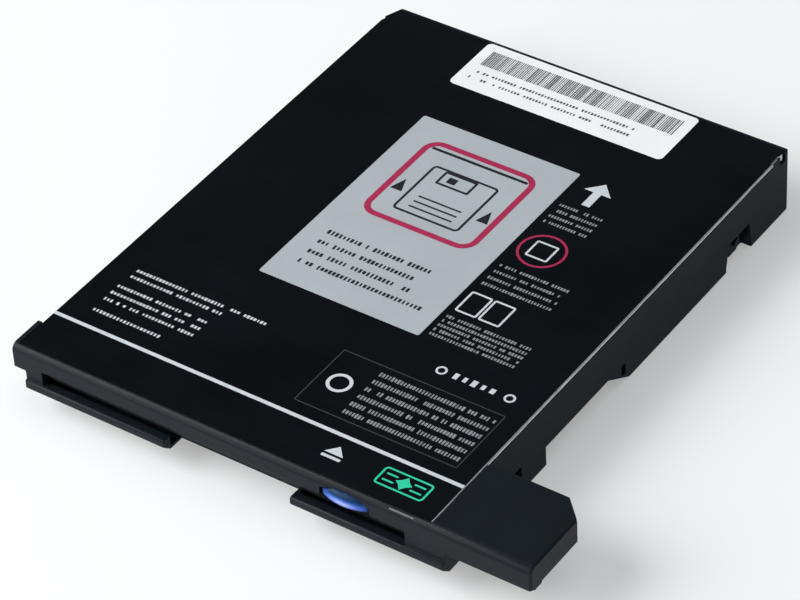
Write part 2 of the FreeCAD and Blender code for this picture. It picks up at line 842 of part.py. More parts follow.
def make_bezel():
    """Front moulding: upper band, slot, lower lip with the finger gap, and the bay block."""
    bezel = Body("front_bezel")
    outer = "-(case_half + bezel_overhang)"
    bezel.pad(
        "XY", "block_low", "block_high",
        polygon(
            (outer, "face"), ("block_right", "face"), ("block_right", "block_back - block_corner"),
            ("block_right - block_corner", "block_back"), ("case_half + block_gap", "block_back"),
            ("case_half + block_gap", "tray_front"), (outer, "tray_front"),
        ),
    )
    bezel.round(
        "soft_edge",
        bezel.edges("x", y="face", z="height"),
    )
    bezel.chamfer("block_edge", bezel.edges("z", x="block_right", y="face"))
    cheek = "-(case_half + bezel_overhang) + cheek_inset"
    lip_end = "case_half + lip_right"
    bezel.pad(
        "XY", "lip_low", "block_low - lip_low + small_edge",
        rectangle(cheek, lip_end, "face", "tray_front"),
    )
    bezel.pad(
        "XY", "lip_low", "lip_high",
        rectangle(cheek, lip_end, "lip_face", "face + small_edge"),
    )
    # Slope under the lip's nose
    bezel.pocket(
        "YZ", f"{cheek} - wall", "2 * case_half + bezel_overhang - cheek_inset + lip_right + 2 * wall",
        polygon(
            ("lip_face", "rail_top - lip_nose"), ("lip_face + undercut", "lip_low"),
            ("lip_face + undercut", "lip_low - wall"), ("lip_face - wall", "lip_low - wall"),
            ("lip_face - wall", "rail_top - lip_nose"),
        ),
    )
    bezel.round(
        "small_edge",
        bezel.edges("x", y="lip_face", z="rail_top"),
        bezel.edges("x", y="lip_face", z="rail_top - lip_nose"),
        bezel.edges("z", x=lip_end, y="lip_face"),
        bezel.edges("z", x=cheek, y="lip_face"),
    )
    # Seat of the lid, the disk slot, the room behind the band and behind the lip
    bezel.pocket(
        "XY", "lid_under", "height",
        rectangle("-case_half", "case_half - lid_margin / 2", "face + lid_setback - fit / 2", "back"),
    )
    bezel.pocket(
        "XZ", "lip_face - wall", "bezel_depth + 2 * wall",
        rectangle("-disk_width / 2 - slot_margin", "disk_width / 2 + slot_margin", "rail_top", "slot_high"),
    )
    bezel.pocket(
        "XY", "slot_high - fit", "height",
        rectangle("-chassis_out - fit", "chassis_out + fit", "face + bezel_wall", "back"),
    )
    bezel.pocket(
        "XY", "lip_low + chin_floor", "rail_top - lip_low",
        rectangle("-holder_out - fit", "holder_out + fit", "face + bezel_wall", "back"),
    )
    bezel.pocket(
        "XY", "0", "rail_top + fit / 2",
        rectangle(
            "finger_centre - finger_wide / 2", "finger_centre + finger_wide / 2",
            "lip_face - wall", "lip_face + finger_deep",
        ),
    )
    # Opening of the button, drawn down to the slot
    bezel.pocket(
        "XZ", "face - wall", "2 * wall + bezel_wall - fit",
        rectangle(
            "button_centre - button_wide / 2 - button_play", "button_centre + button_wide / 2 + button_play",
            "slot_high - fit", "slot_high + button_play + button_high + button_play",
        ),
    )
    # Slit of the light pipe and the chamber of the lamp
    slit = "lid_setback - pipe_thick - 2 * pipe_play - fit"
    bezel.pocket(
        "XY", "slot_high + 1", "height",
        rectangle(
            "pipe_start - pipe_play", "pipe_start + pipe_wide + pipe_play",
            f"face + {slit}", "face + lid_setback - fit",
        ),
    )
    bezel.pocket(
        "XY", "slot_high + fit", "chamber_high",
        rectangle("chassis_out - 1", "case_in + 1", f"face + {slit}", "face + bezel_wall + wall"),
    )
    bezel.pocket(
        "XY", "slot_high + fit", "height",
        rectangle("chassis_out - 1", "case_in + 1", "face + bezel_wall", "back"),
    )
    # Ears that carry the flap's pins
    ear_low = "holder_out + slide_gap"
    ears = bezel.pad(
        "YZ", ear_low, "ear",
        rectangle("face + bezel_wall / 2", "flap_y + 0.9", "slot_high - 2 * fit", "flap_z + 0.9"),
    )
    bezel.mirror(ears)
    bezel.pocket(
        "YZ", f"-({ear_low}) - ear - fit", f"2 * ({ear_low}) + 2 * ear + 2 * fit",
        circle("flap_y", "flap_z", "flap_pin + pin_play"),
    )
    # Tongues that slip inside the tray's walls
    tongue = bezel.pad(
        "XY", "tongue_low", "tongue_high",
        rectangle("chassis_out + 2 * fit", "case_in - fit", "tray_front - wall", "tray_front + tongue_long"),
    )
    bezel.mirror(tongue)
    # Hollow of the bay block, open below, with two posts for its cover
    bezel.pocket("XY", "block_low - plate", "block_high + plate - shell", block_outline("0"))
    bezel.pad(
        "XY", "block_low + plate", "block_high - plate - shell / 2",
        square("case_half + lip_right + 2 * post_half", "face + block_long / 2", "post_half"),
        square("block_right - 3 * post_half", "face + block_long / 2", "post_half"),
    )
    # Short foot under the block's outer front corner
    bezel.pad(
        "XY", "block_low - foot_drop", "foot_drop + small_edge",
        rectangle("block_right - shell", "block_right", "face + foot_front", "face + foot_front + foot_long"),
    )


def make_block_cover():
    """Plate that closes the bay block from below, against the two posts."""
    cover = Body("block_cover")
    cover.pad("XY", "block_low", "plate", block_outline("plate_play"))


def make_flap():
    """Dust flap that hangs in the slot from a round bar along its top."""
    flap = Body("dust_flap", "mid", "flap_y", "flap_z")
    half = "holder_in + fit"
    flap.pad(
        "XY", "-flap_drop", "flap_drop",
        rectangle(f"-({half})", half, "-flap_thick / 2", "flap_thick / 2"),
    )
    flap.pad("YZ", f"-({half})", f"2 * ({half})", circle("0", "0", "flap_barrel"))
    reach = "holder_out + slide_gap + ear"
    flap.pad("YZ", f"-({reach})", f"2 * ({reach})", circle("0", "0", "flap_pin"))


def make_button():
    """Lens-shaped eject button with the stem that takes the slide's tongue."""
    button = Body("eject_button", "mid + button_centre", "lip_face", "slot_high + button_play")
    button.pad("XY", "0", "button_high", lens("button_wide / 2", "button_deep", "button_bow"))
    button.round(
        "button_corner",
        button.edges("z", x="-button_wide / 2", y="button_bow"),
        button.edges("z", x="button_wide / 2", y="button_bow"),
    )
    # Each bevel starts at the front arc and runs on round the corners to the flat back
    button.chamfer("button_top", button.arcs(x="0", z="button_high"))
    button.chamfer("button_base", button.arcs(x="0", z="0"))
    stem_low = "slide_low - slot_high - button_play"
    button.pad(
        "XZ", "button_deep - fit", "slide_front - lip_face - button_deep",
        rectangle("-stem_wide / 2", "stem_wide / 2", stem_low, "button_high - fit"),
    )
    button.pocket(
        "XY", f"{stem_low} - fit", "slide_sheet + pin_play + fit",
        rectangle(
            "-tongue_wide / 2 - pin_play", "tongue_wide / 2 + pin_play",
            "button_deep + wall", "bezel_depth",
        ),
    )


def make_light():
    """Light pipe in the front edge and the small lamp below its end."""
    pipe = Body("light_pipe")
    pipe_end = "pipe_start + pipe_wide"
    tip = "height - pipe_sink"
    lamp_top = "slot_high + fit + light_high"
    pipe.pad(
        "XZ", "face + lid_setback - fit - pipe_play - pipe_thick", "pipe_thick",
        polygon(
            ("pipe_start", tip), (pipe_end, tip), (pipe_end, f"{lamp_top} + pipe_foot"),
            (f"{pipe_end} + light_wide", f"{lamp_top} + pipe_foot"),
            (f"{pipe_end} + light_wide", f"{lamp_top} + pipe_play"),
            (pipe_end, f"{lamp_top} + pipe_play"), ("pipe_start", f"{lamp_top} + pipe_foot"),
        ),
    )
    lamp = Body("activity_light")
    lamp.pad(
        "XY", "slot_high + fit", "light_high",
        rectangle(
            pipe_end, f"{pipe_end} + light_wide",
            "face + lid_setback - fit - pipe_thick - pipe_play", "face + lid_setback + 1.6",
        ),
    )


def make_chassis():
    """Pressed base with folded side fences that guide the holder's pins up and down."""
    chassis = Body("chassis")
    chassis.pad(
        "XY", "chassis_low", "chassis_sheet",
        rectangle("-chassis_out", "chassis_out", "chassis_front", "chassis_back"),
    )
    fence = chassis.pad(
        "XY", "chassis_low", "lid_under - fence_gap - chassis_low",
        rectangle("chassis_in", "chassis_out", "chassis_front", "disk_end + fence_tail"),
    )
    hook = chassis.pad(
        "XY", "slide_top + fit", "lid_under - fence_gap - slide_top - fit",
        rectangle(
            "spring_x - 2", "chassis_in + chassis_sheet / 2",
            "chassis_front", "chassis_front + hook_thick",
        ),
    )
    chassis.mirror(fence, hook)
    chassis.pocket(
        "XY", "chassis_low - wall", "3 * wall",
        circle("0", "spindle_y", "rotor_radius + 2"),
    )
    chassis.pocket(
        "XY", "chassis_low - wall", "3 * wall",
        rectangle(
            "-window_wide / 2", "window_wide / 2", "spindle_y + rotor_radius - 2", "hinge_y + 3.8"
        ),
    )
    chassis.pocket(
        "XY", "chassis_low - wall", "3 * wall",
        rectangle(
            "rod_x - 2.4", "rod_x + 2.4", "hinge_y + 3", "rod_front + rod_long + 0.8"
        ),
    )
    gates = chassis.pocket(
        "XY", "chassis_low - wall", "3 * wall",
        rectangle(
            "switch_x - switch_wide / 2 - fit", "switch_x + switch_wide / 2 + fit",
            "chassis_front - 1", "switch_y + switch_long / 2 + fit",
        ),
    )
    chassis.mirror(gates)
    chassis.pocket(
        "XY", "chassis_low - wall", "3 * wall",
        rectangle(
            "switch_x - switch_step - switch_wide / 2 - fit", "switch_x - switch_step + switch_wide / 2 + fit",
            "chassis_front - 1", "switch_y + switch_long / 2 + fit",
        ),
    )
    chassis.pocket(
        "XY", "chassis_low - wall", "3 * wall",
        rectangle(
            "screw_x - stepper_radius - 1", "screw_x + stepper_radius + 1", "stepper_front - 1", "back"
        ),
    )
    windows = chassis.pocket(
        "XY", "chassis_low - wall", "3 * wall",
        polygon(
            ("rotor_radius + motor_reach", "spindle_y - 13"), ("chassis_in - 10", "spindle_y - rotor_radius"),
            ("chassis_in - 10", "spindle_y + rotor_radius"), ("rotor_radius + motor_reach", "spindle_y + 13"),
        ),
    )
    chassis.mirror(windows)
    # Upright slots for the holder's four pins, open above
    room = "(guide_radius + guide_play)"
    chassis.pocket(
        "YZ", "-chassis_out - wall", "2 * chassis_out + 2 * wall",
        *[
            rectangle(f"{row} - {room}", f"{row} + {room}", f"guide_z - load_drop - {room}", "height")
            for row in GUIDE_ROWS
        ],
    )


def make_holder():
    """Folded cradle: roof, sides and bottom rails in one channel, cut out for the head and lever."""
    holder = Body("disk_holder")
    low = "rail_top - holder_sheet"
    rail = "rail_edge"
    long = "disk_end + holder_tail - holder_front"
    holder.pad(
        "XZ", "holder_front", long,
        polygon(
            ("-holder_out", low), (f"-({rail})", low), (f"-({rail})", "rail_top"),
            ("-holder_in", "rail_top"), ("-holder_in", "holder_roof"), ("holder_in", "holder_roof"),
            ("holder_in", "rail_top"), (rail, "rail_top"), (rail, low), ("holder_out", low),
            ("holder_out", "holder_top"), ("-holder_out", "holder_top"),
        ),
    )
    holder.round(
        "holder_sheet / 2",
        holder.edges("y", x="holder_out", z="holder_top"),
        holder.edges("y", x="-holder_out", z="holder_top"),
        holder.edges("y", x="holder_out", z=low),
        holder.edges("y", x="-holder_out", z=low),
    )
    end = "disk_end + holder_tail"
    holder.pocket(
        "XY", "holder_roof - holder_sheet", "3 * holder_sheet",
        rectangle("-head_slot / 2", "head_slot / 2", "head_y - track_travel - 5", f"{end} + 1"),
    )
    # Window swept by the lever's pin
    inside = "(lever_long - 2)"
    outside = "(lever_long + 2)"
    holder.pocket(
        "XY", "holder_roof - holder_sheet", "3 * holder_sheet",
        polygon(
            (f"lever_x + {inside} * cos(lever_rest - 5)", f"lever_y + {inside} * sin(lever_rest - 5)"),
            (f"lever_x + {outside} * cos(lever_rest - 5)", f"lever_y + {outside} * sin(lever_rest - 5)"),
            (f"lever_x + 1.03 * {outside}", f"lever_y + {outside} * sin(lever_rest + 30)"),
            (f"lever_x + {outside} * cos(lever_rest + 55)", f"{end} + 1"),
            (f"lever_x + {inside} * cos(lever_rest + 65)", f"{end} + 1"),
            (f"lever_x + {inside} * cos(lever_rest + 30)", f"lever_y + {inside} * sin(lever_rest + 30)"),
        ),
    )
    windows = holder.pocket(
        "XY", "holder_roof - holder_sheet", "3 * holder_sheet",
        rectangle("head_slot", "holder_out - 10", "spindle_y - 6", "spindle_y + 26"),
        rectangle("16 - holder_out", "holder_out - 16", "holder_front + 8", "spindle_y - 18"),
    )
    notches = holder.pocket(
        "XY", f"{low} - 1", "1 + 2 * holder_sheet",
        rectangle(f"{rail} - 1", "holder_in - fit", "holder_front - 1", "holder_front + 8"),
    )
    holder.mirror(notches)
    stop = holder.pad(
        "XY", "rail_top + 1", "holder_roof - rail_top - 1 + holder_sheet / 2",
        rectangle("1.2 * head_slot", "1.8 * head_slot", f"{end} - holder_sheet", end),
    )
    holder.mirror(stop)


def make_guides():
    """Four pins that run in the fences' upright slots and the slide's sloping ones."""
    reach = "chassis_out + guide_reach - holder_out"
    pins = []
    for row in GUIDE_ROWS:
        pins.append(cylinder("guide_radius", reach, "mid + holder_out", row, "guide_z", "x"))
        pins.append(cylinder("guide_radius", reach, f"mid - holder_out - ({reach})", row, "guide_z", "x"))
    group("holder_pins", pins)


def cam_slot(row):
    """A sloping slot that takes a pin down by the load drop, with a level rest at each end."""
    room = "(guide_radius + guide_play)"
    pitch = "(load_drop / eject_travel)"
    ease = f"({room} * (sqrt(1 + {pitch} ^ 2) - 1) / {pitch})"
    last = f"{row} + eject_travel"
    low = "guide_z - load_drop"
    return polygon(
        (f"{row} - {room}", f"guide_z - {room}"), (f"{row} - {ease}", f"guide_z - {room}"),
        (f"{last} - {ease}", f"{low} - {room}"), (f"{last} + {room}", f"{low} - {room}"),
        (f"{last} + {room}", f"{low} + {room}"), (f"{last} + {ease}", f"{low} + {room}"),
        (f"{row} + {ease}", f"guide_z + {room}"), (f"{row} - {room}", f"guide_z + {room}"),
    )


def make_slide():
    """Eject slide: plate over the holder with side flanges whose sloping slots lower its pins."""
    slide = Body("eject_slider")
    slide.pad(
        "XY", "slide_low", "slide_sheet",
        polygon(
            ("-slide_out", "slide_front"), ("slide_out", "slide_front"), ("slide_out", "slide_back"),
            ("slide_out - 3", "slide_back"), ("slide_out - 3", "spindle_y - 7"),
            ("slide_out - 19", "spindle_y - 16"), ("19 - slide_out", "spindle_y - 16"),
            ("-slide_out + 3", "spindle_y - 7"),
            ("-slide_out + 3", "slide_back"), ("-slide_out", "slide_back"),
        ),
    )
    flange = slide.pad(
        "XY", "flange_low", "slide_top - flange_low",
        rectangle("slide_in", "slide_out", "flange_front", "flange_back"),
    )
    tab = slide.pad(
        "XY", "slide_low", "lid_under - fit - slide_low",
        rectangle(
            "spring_x - 2", "slide_out - slide_sheet",
            "chassis_front + hook_thick + spring_long",
            "chassis_front + hook_thick + spring_long + slide_sheet",
        ),
    )
    slide.mirror(flange, tab)
    slide.pad(
        "XY", "slide_low", "slide_sheet",
        rectangle(
            "button_centre - tongue_wide / 2", "button_centre + tongue_wide / 2",
            "lip_face + button_deep + wall + pin_play", "slide_front + 1",
        ),
    )
    slide.pocket(
        "YZ", "-slide_out - wall", "2 * slide_out + 2 * wall", *[cam_slot(row) for row in GUIDE_ROWS]
    )
    slide.pocket(
        "YZ", "-slide_out - wall", "2 * slide_out + 2 * wall",
        polygon(
            ("spindle_y - 12", "flange_low - 1"), ("spindle_y - 8", "guide_z + 1"),
            ("spindle_y + 18", "guide_z + 1"), ("spindle_y + 22", "flange_low - 1"),
        ),
    )
    slide.pocket(
        "XY", "slide_low - wall", "3 * wall",
        rectangle("18 - slide_out", "-3", "slide_front + 5", "slide_front + 12"),
        rectangle("3", "slide_out - 18", "slide_front + 5", "slide_front + 12"),
    )


def make_springs():
    """Two tension springs from the chassis hooks to the slide's tabs."""
    for label, sign in (("eject_spring_left", "-1"), ("eject_spring_right", "1")):
        spring = Body(label, f"mid + {sign} * spring_x", "chassis_front + hook_thick", "slide_top + 1.1")
        spring.pad("XZ", "0", "spring_long", circle("0", "0", "spring_radius"))


def make_lever():
    """Shutter lever: flat arm with a down-turned pin, its rivet and its coil spring."""
    lever = Body("shutter_lever", "mid + lever_x", "lever_y", "lever_low")
    lever.body.Placement = FreeCAD.Placement(VECTOR(), FreeCAD.Rotation(VECTOR(0, 0, 1), 0))
    place(lever.body, "mid + lever_x", "lever_y", "lever_low")
    bind(lever.body, "Placement.Rotation.Angle", "lever_rest")
    lever.pad(
        "XY", "0", "lever_thick",
        polygon(
            ("-1.6 * lever_hub", "-lever_pin"), ("0", "-lever_hub"),
            ("lever_long - lever_hub", "-1.2 * lever_pin"), ("lever_long + lever_pin", "-lever_pin"),
            ("lever_long + lever_pin", "lever_pin"), ("lever_long - lever_hub", "1.2 * lever_pin"),
            ("0", "lever_hub"), ("-1.6 * lever_hub", "lever_pin"),
        ),
    )
    lever.pad(
        "XY", "-(holder_top - rail_top) + 0.4", "holder_top - rail_top - 0.4 + lever_thick",
        circle("lever_long", "0", "lever_pin"),
    )
    lever.pocket("XY", "-1", "3", circle("0", "0", "rivet_radius + pin_play"))
    spring_low = "lever_low + lever_thick + pin_play"
    pin = cylinder("rivet_radius", "2.2", "mid + lever_x", "lever_y", "holder_top")
    head = cylinder("rivet_head", "0.4", "mid + lever_x", "lever_y", "holder_top + 2.2")
    keep(fuse(pin, head), "lever_pivot")
    tube = cylinder("rivet_head", "1.4", "mid + lever_x", "lever_y", spring_low)
    bore = cylinder("rivet_radius + fit", "1.4", "mid + lever_x", "lever_y", spring_low)
    keep(cut(tube, bore), "lever_spring")


def make_motor():
    """Spindle motor: board, bearing, stator with wound teeth, cup rotor, hub plate and shaft."""
    board = Body("motor_board", "mid", "spindle_y")
    far = "(rotor_radius + motor_reach)"
    near = "(rotor_radius + motor_reach - motor_corner)"
    rear = "(rod_front - motor_gap - spindle_y)"
    board.pad(
        "XY", "chassis_low - motor_board", "motor_board",
        polygon(
            (f"-{near}", f"-{far}"), (near, f"-{far}"), (far, f"-{near}"), (far, f"{rear} - motor_corner"),
            (near, rear), (f"-{near}", rear), (f"-{far}", f"{rear} - motor_corner"), (f"-{far}", f"-{near}"),
        ),
    )
    board.pocket(
        "XY", "chassis_low - 2 * motor_board", "3 * motor_board", circle("0", "0", "bearing_radius + fit / 2")
    )

    bearing = Body("spindle_bearing", "mid", "spindle_y")
    lift = "chassis_low + stator_thick + 0.7"
    foot = "floor + rib_high + fit"
    bearing.revolve(
        polygon(
            ("shaft_radius + pin_play", foot), ("bearing_radius + bearing_foot", foot),
            ("bearing_radius + bearing_foot", "chassis_low - motor_board"),
            ("bearing_radius", "chassis_low - motor_board"), ("bearing_radius", lift),
            ("shaft_radius + pin_play", lift),
        )
    )

    stator = Body("motor_stator", "mid", "spindle_y", "chassis_low + 0.45")
    stator.pad("XY", "0", "stator_thick", circle("0", "0", "stator_hub"), circle("0", "0", "stator_bore"))
    tooth = stator.pad(
        "XY", "0", "stator_thick",
        polygon(
            ("stator_hub - 1", "-tooth_wide / 2"), ("stator_radius - 1.2", "-tooth_wide / 2"),
            ("stator_radius - 0.6", "-tooth_wide"), ("stator_radius", "-tooth_wide"),
            ("stator_radius", "tooth_wide"), ("stator_radius - 0.6", "tooth_wide"),
            ("stator_radius - 1.2", "tooth_wide / 2"), ("stator_hub - 1", "tooth_wide / 2"),
        ),
    )
    stator.around("stator_poles", tooth)

    coils = Body("stator_coils", "mid", "spindle_y", "chassis_low + 0.45")
    coils.body.AllowCompound = True
    side = "tooth_wide / 2 + coil_wall + 0.55"
    coil = coils.pad(
        "YZ", "stator_hub + 1.2", "stator_radius - stator_hub - 3.2",
        rectangle(f"-({side})", side, "-coil_wall", "stator_thick + coil_wall"),
        rectangle(
            "-tooth_wide / 2 - 0.02", "tooth_wide / 2 + 0.02", "-0.02", "stator_thick + 0.02"
        ),
    )
    coils.around("stator_poles", coil)

    rotor = Body("spindle_rotor", "mid", "spindle_y")
    low = "rotor_top - rotor_disc"
    rotor.revolve(
        polygon(
            ("shaft_radius", low), ("rotor_radius - rotor_rim", low),
            ("rotor_radius - rotor_rim", "chassis_low + 0.3"), ("rotor_radius", "chassis_low + 0.3"),
            ("rotor_radius", "rotor_top"), ("shaft_radius", "rotor_top"),
        )
    )
    window = rotor.pocket(
        "XY", f"{low} - 1", "3",
        polygon(
            ("hub_radius + 2", "-1.4"), ("rotor_radius - 4", "-2.2"), ("rotor_radius - 4", "2.2"),
            ("hub_radius + 2", "1.4"),
        ),
    )
    rotor.around("6", window)

    magnet = Body("rotor_magnet", "mid", "spindle_y")
    edge = "rotor_radius - rotor_rim"
    magnet.revolve(
        polygon(
            (f"{edge} - magnet_thick", low), (f"{edge} - magnet_thick", "chassis_low + 0.4"),
            (edge, "chassis_low + 0.4"), (edge, low),
        )
    )

    hub = Body("hub_plate", "mid", "spindle_y")
    hub.pad(
        "XY", "rotor_top", "hub_top - rotor_top",
        circle("0", "0", "hub_radius"), circle("0", "0", "shaft_radius"),
    )
    hub.pocket(
        "XY", "rotor_top - fit", "hub_top - rotor_top + 2 * fit",
        rectangle("-9.5", "3.5", "5.2", "hub_radius + 1"),
    )

    lever = Body("drive_lever", "mid", "spindle_y")
    lever.pad(
        "XY", "rotor_top + pin_play", "0.4",
        polygon(("-9", "5.7"), ("-4", "5.7"), ("1", "7.3"), ("1", "9.8"), ("-4", "9"), ("-9", "8.3")),
    )
    lever.pad("XY", "rotor_top + pin_play", "hub_top - rotor_top + 1", circle("0", "8.6", "1"))
    lever.pocket("XY", "rotor_top - 1", "3", circle("-7.4", "7", "0.65"))
    keep(cylinder("0.6", "0.55", "mid - 7.4", "spindle_y + 7", "rotor_top"), "drive_lever_pin")
    keep(
        cylinder("shaft_radius", f"hub_top + 1.3 - ({foot}) - fit", "mid", "spindle_y", f"{foot} + fit"),
        "spindle_shaft",
    )


def make_carriage():
    """Head carriage, its two heads and the sprung upper arm."""
    carriage = Body("head_carriage", "mid", "hinge_y")
    low = "chassis_top + 0.5"
    top = "disk_low - 0.1"
    front = "-hinge_behind - 2.2"
    carriage.pad(
        "XY", low, f"{top} - ({low})",
        polygon(
            ("-arm_half + 2", front), ("arm_half - 2", front), ("arm_half", f"{front} + 4"),
            ("arm_half", "-13"), ("rod_x + 3", "-13"), ("rod_x + 3", "3"), ("screw_x + 3.2", "3"),
            ("screw_x + 3.2", "-1.5"), ("-arm_half", "-10"), ("-arm_half", f"{front} + 4"),
        ),
    )
    carriage.pad(
        "XZ", "-13", "16",
        rectangle("rod_x - 3", "rod_x + 3", "rod_z - 0.6", top),
    )
    carriage.pocket("XZ", "-14", "18", circle("rod_x", "rod_z", "rod_radius + pin_play"))
    # Tower of the upper arm's hinge, with a fork
    carriage.pad(
        "XY", low, f"hinge_z + 1 - ({low})",
        rectangle("-arm_half - 1", "arm_half + 1", "-2", "3"),
    )
    carriage.pocket(
        "XY", f"{top} + 1", "height",
        rectangle("-arm_half + 0.4", "arm_half - 0.4", "-3", "4"),
    )
    carriage.pocket(
        "YZ", "-arm_half - 2", "2 * arm_half + 4", circle("0", "hinge_z", "0.65")
    )
    # Flag of the track sensor, and the half nut beside the lead screw
    carriage.pad("XY", "chassis_top + 0.9", "0.6", rectangle("rod_x + 2", "rod_x + 8", "0.6", "3"))
    carriage.pad(
        "XZ", "0.6", "2.4",
        polygon(
            ("screw_x + lead_radius + 0.25", "screw_z - 1"), ("screw_x + lead_radius + 0.25", "screw_z + 1.6"),
            ("-arm_half - 0.5", "screw_z + 1.6"), ("-arm_half - 0.5", low),
            ("screw_x + 3.2", low),
        ),
    )

    lower = Body("lower_head", "mid", "head_y")
    lower.pad("XY", top, "1.65", rectangle("-2", "2", "-2", "2"))
    lower.round("0.4", lower.edges("x", y="-2", z=f"{top} + 1.65"), lower.edges("x", y="2", z=f"{top} + 1.65"))

    arm = Body("upper_arm", "mid", "hinge_y", "hinge_z")
    bind(arm.body, "Placement.Rotation.Angle", "arm_tilt")
    arm.body.Placement = FreeCAD.Placement(VECTOR(), FreeCAD.Rotation(VECTOR(-1, 0, 0), number("arm_tilt")))
    bind(arm.body, "Placement.Rotation.Angle", "arm_tilt")
    place(arm.body, "mid", "hinge_y", "hinge_z")
    arm.pad(
        "XY", "-0.4", "1",
        polygon(
            ("-2.6", "-hinge_behind - 2.4"), ("2.6", "-hinge_behind - 2.4"), ("arm_half - 1", "-10"),
            ("arm_half - 1", "1.6"), ("-arm_half + 1", "1.6"), ("-arm_half + 1", "-10"),
        ),
    )
    arm.pad(
        "YZ", "-arm_half + 1", "2 * arm_half - 2", circle("0", "0", "1.1"),
    )
    arm.pocket(
        "YZ", "-arm_half - 1", "2 * arm_half + 2", circle("0", "0", "0.65"),
    )
    arm.pocket(
        "XY", "-3", "6",
        rectangle("-2.2", "2.2", "-12", "-5"), rectangle("2", "arm_half", "-1.8", "3"),
    )

    upper = Body("upper_head", "mid", "hinge_y", "hinge_z")
    upper.body.Placement = arm.body.Placement
    bind(upper.body, "Placement.Rotation.Angle", "arm_tilt")
    place(upper.body, "mid", "hinge_y", "hinge_z")
    upper.pad(
        "XY", "-(hinge_z - disk_low - disk_thick / 2) + 0.1",
        "hinge_z - disk_low - disk_thick / 2 - 0.1 - 0.4",
        rectangle("-2", "2", "-hinge_behind - 2", "-hinge_behind + 2"),
    )
    keep(
        cylinder("0.6", "2 * arm_half + 2", "mid - arm_half - 1", "hinge_y", "hinge_z", "x"),
        "arm_pin",
    )
    coil = cylinder("1.3", "arm_half - 3", "mid + 2.3", "hinge_y", "hinge_z", "x")
    hollow = cylinder("0.65", "arm_half - 3", "mid + 2.3", "hinge_y", "hinge_z", "x")
    keep(cut(coil, hollow), "arm_spring")


def make_drive_line():
    """Guide rod and its clamps, lead screw, its front bearing, the stepper and its bracket."""
    keep(cylinder("rod_radius", "rod_long", "mid + rod_x", "rod_front", "rod_z", "y"), "guide_rod")
    clamps = []
    for start in ("rod_front", "rod_front + rod_long - clamp_long"):
        block = box(
            "2 * clamp_half", "clamp_long", "clamp_high",
            "mid + rod_x - clamp_half", start, "chassis_top - clamp_sink",
        )
        foot = box("clamp_half + clamp_foot", "clamp_long", "clamp_tab", "mid + rod_x", start, "chassis_top")
        bore = cylinder(
            "rod_radius + 0.02", "clamp_long + 2 * fit", "mid + rod_x", f"{start} - fit", "rod_z", "y"
        )
        clamps.append(cut(fuse(block, foot), bore))
    group("rod_clamps", clamps)

    screw_front = "disk_end + 2.4"
    screw_long = f"stepper_front - ({screw_front})"
    keep(cylinder("lead_radius", screw_long, "mid + screw_x", screw_front, "screw_z", "y"), "lead_screw")
    bearing = Body("screw_bearing")
    bearing.pad(
        "XZ", f"{screw_front} - 0.6", "1.6",
        polygon(
            ("-22", "chassis_top"), ("screw_x + 2.4", "chassis_top"), ("screw_x + 2.4", "screw_z + 2.2"),
            ("screw_x - 2.4", "screw_z + 2.2"), ("-22", "chassis_top + 2"),
        ),
    )
    bearing.pocket("XZ", "disk_end", "8", circle("screw_x", "screw_z", "lead_radius + pin_play"))

    stepper = Body("stepper_motor")
    stepper.pad("XZ", "stepper_front + bracket", "stepper_long", circle("screw_x", "screw_z", "stepper_radius"))
    bracket = Body("stepper_bracket")
    ear = "(stepper_radius + stepper_ear)"
    low = "chassis_top - 2 * bracket + fit"
    high = "screw_z + stepper_radius + small_edge"
    bracket.pad(
        "XZ", "stepper_front", "bracket",
        polygon(
            (f"screw_x - {ear}", "chassis_top"), ("screw_x - stepper_radius", "chassis_top"),
            ("screw_x - stepper_radius", low), ("screw_x + stepper_radius", low),
            ("screw_x + stepper_radius", "chassis_top"), (f"screw_x + {ear}", "chassis_top"),
            ("screw_x + stepper_radius + small_edge", high), ("screw_x - stepper_radius - small_edge", high),
        ),
    )
    bracket.pocket("XZ", "stepper_front - 1", "3", circle("screw_x", "screw_z", "lead_radius + 0.4"))
    bracket.pad(
        "XY", "chassis_top", "bracket",
        rectangle(
            f"screw_x + {ear} - stepper_seat", f"screw_x + {ear}",
            "stepper_front", "stepper_front + stepper_foot",
        ),
        rectangle(
            f"screw_x - {ear}", f"screw_x - {ear} + stepper_seat",
            "stepper_front", "stepper_front + stepper_foot",
        ),
    )


def make_datums():
    """Posts on which the loaded disk lies; the rear two carry the pins that enter its holes."""
    posts = []
    for side in both("datum_x"):
        posts.append(
            prism(6, "datum_radius", "disk_low - chassis_top", side, "datum_y", "chassis_top")
        )
        rear = "disk_end - datum_back"
        stem = prism(6, "datum_radius", "disk_low - chassis_top", side, rear, "chassis_top")
        pin = prism(6, "datum_radius / 2", "datum_pin + 0.1", side, rear, "disk_low - 0.1")
        posts.append(fuse(stem, pin))
    group("datum_posts", posts)


def make_switches():
    """Board across the front under the chassis, with three switches and their plungers."""
    board = Body("switch_board")
    board.pad(
        "XY", "chassis_low - motor_board", "motor_board",
        rectangle("-holder_in", "holder_in", "chassis_front + fit", "chassis_front + fit + switch_strip"),
    )
    names = ("write_protect_plunger", "density_plunger", "disk_plunger")
    places = ("mid + switch_x", "mid - switch_x", "mid + switch_x - switch_step")
    cases = []
    for name, x in zip(names, places):
        case = box(
            "switch_wide", "switch_long", "switch_high",
            f"{x} - switch_wide / 2", "switch_y - switch_long / 2", "chassis_low",
        )
        well = "plunger_radius + pin_play"
        bore = box(
            f"2 * ({well})", f"2 * ({well})", "switch_high",
            f"{x} - ({well})", f"switch_y - ({well})", "chassis_low + 0.4",
        )
        cases.append(cut(case, bore))
        low = "chassis_low + 0.5 + plunger_rise"
        keep(cylinder("plunger_radius", f"disk_low + plunger_rise - ({low})", x, "switch_y", low), name)
    group("switch_bodies", cases)


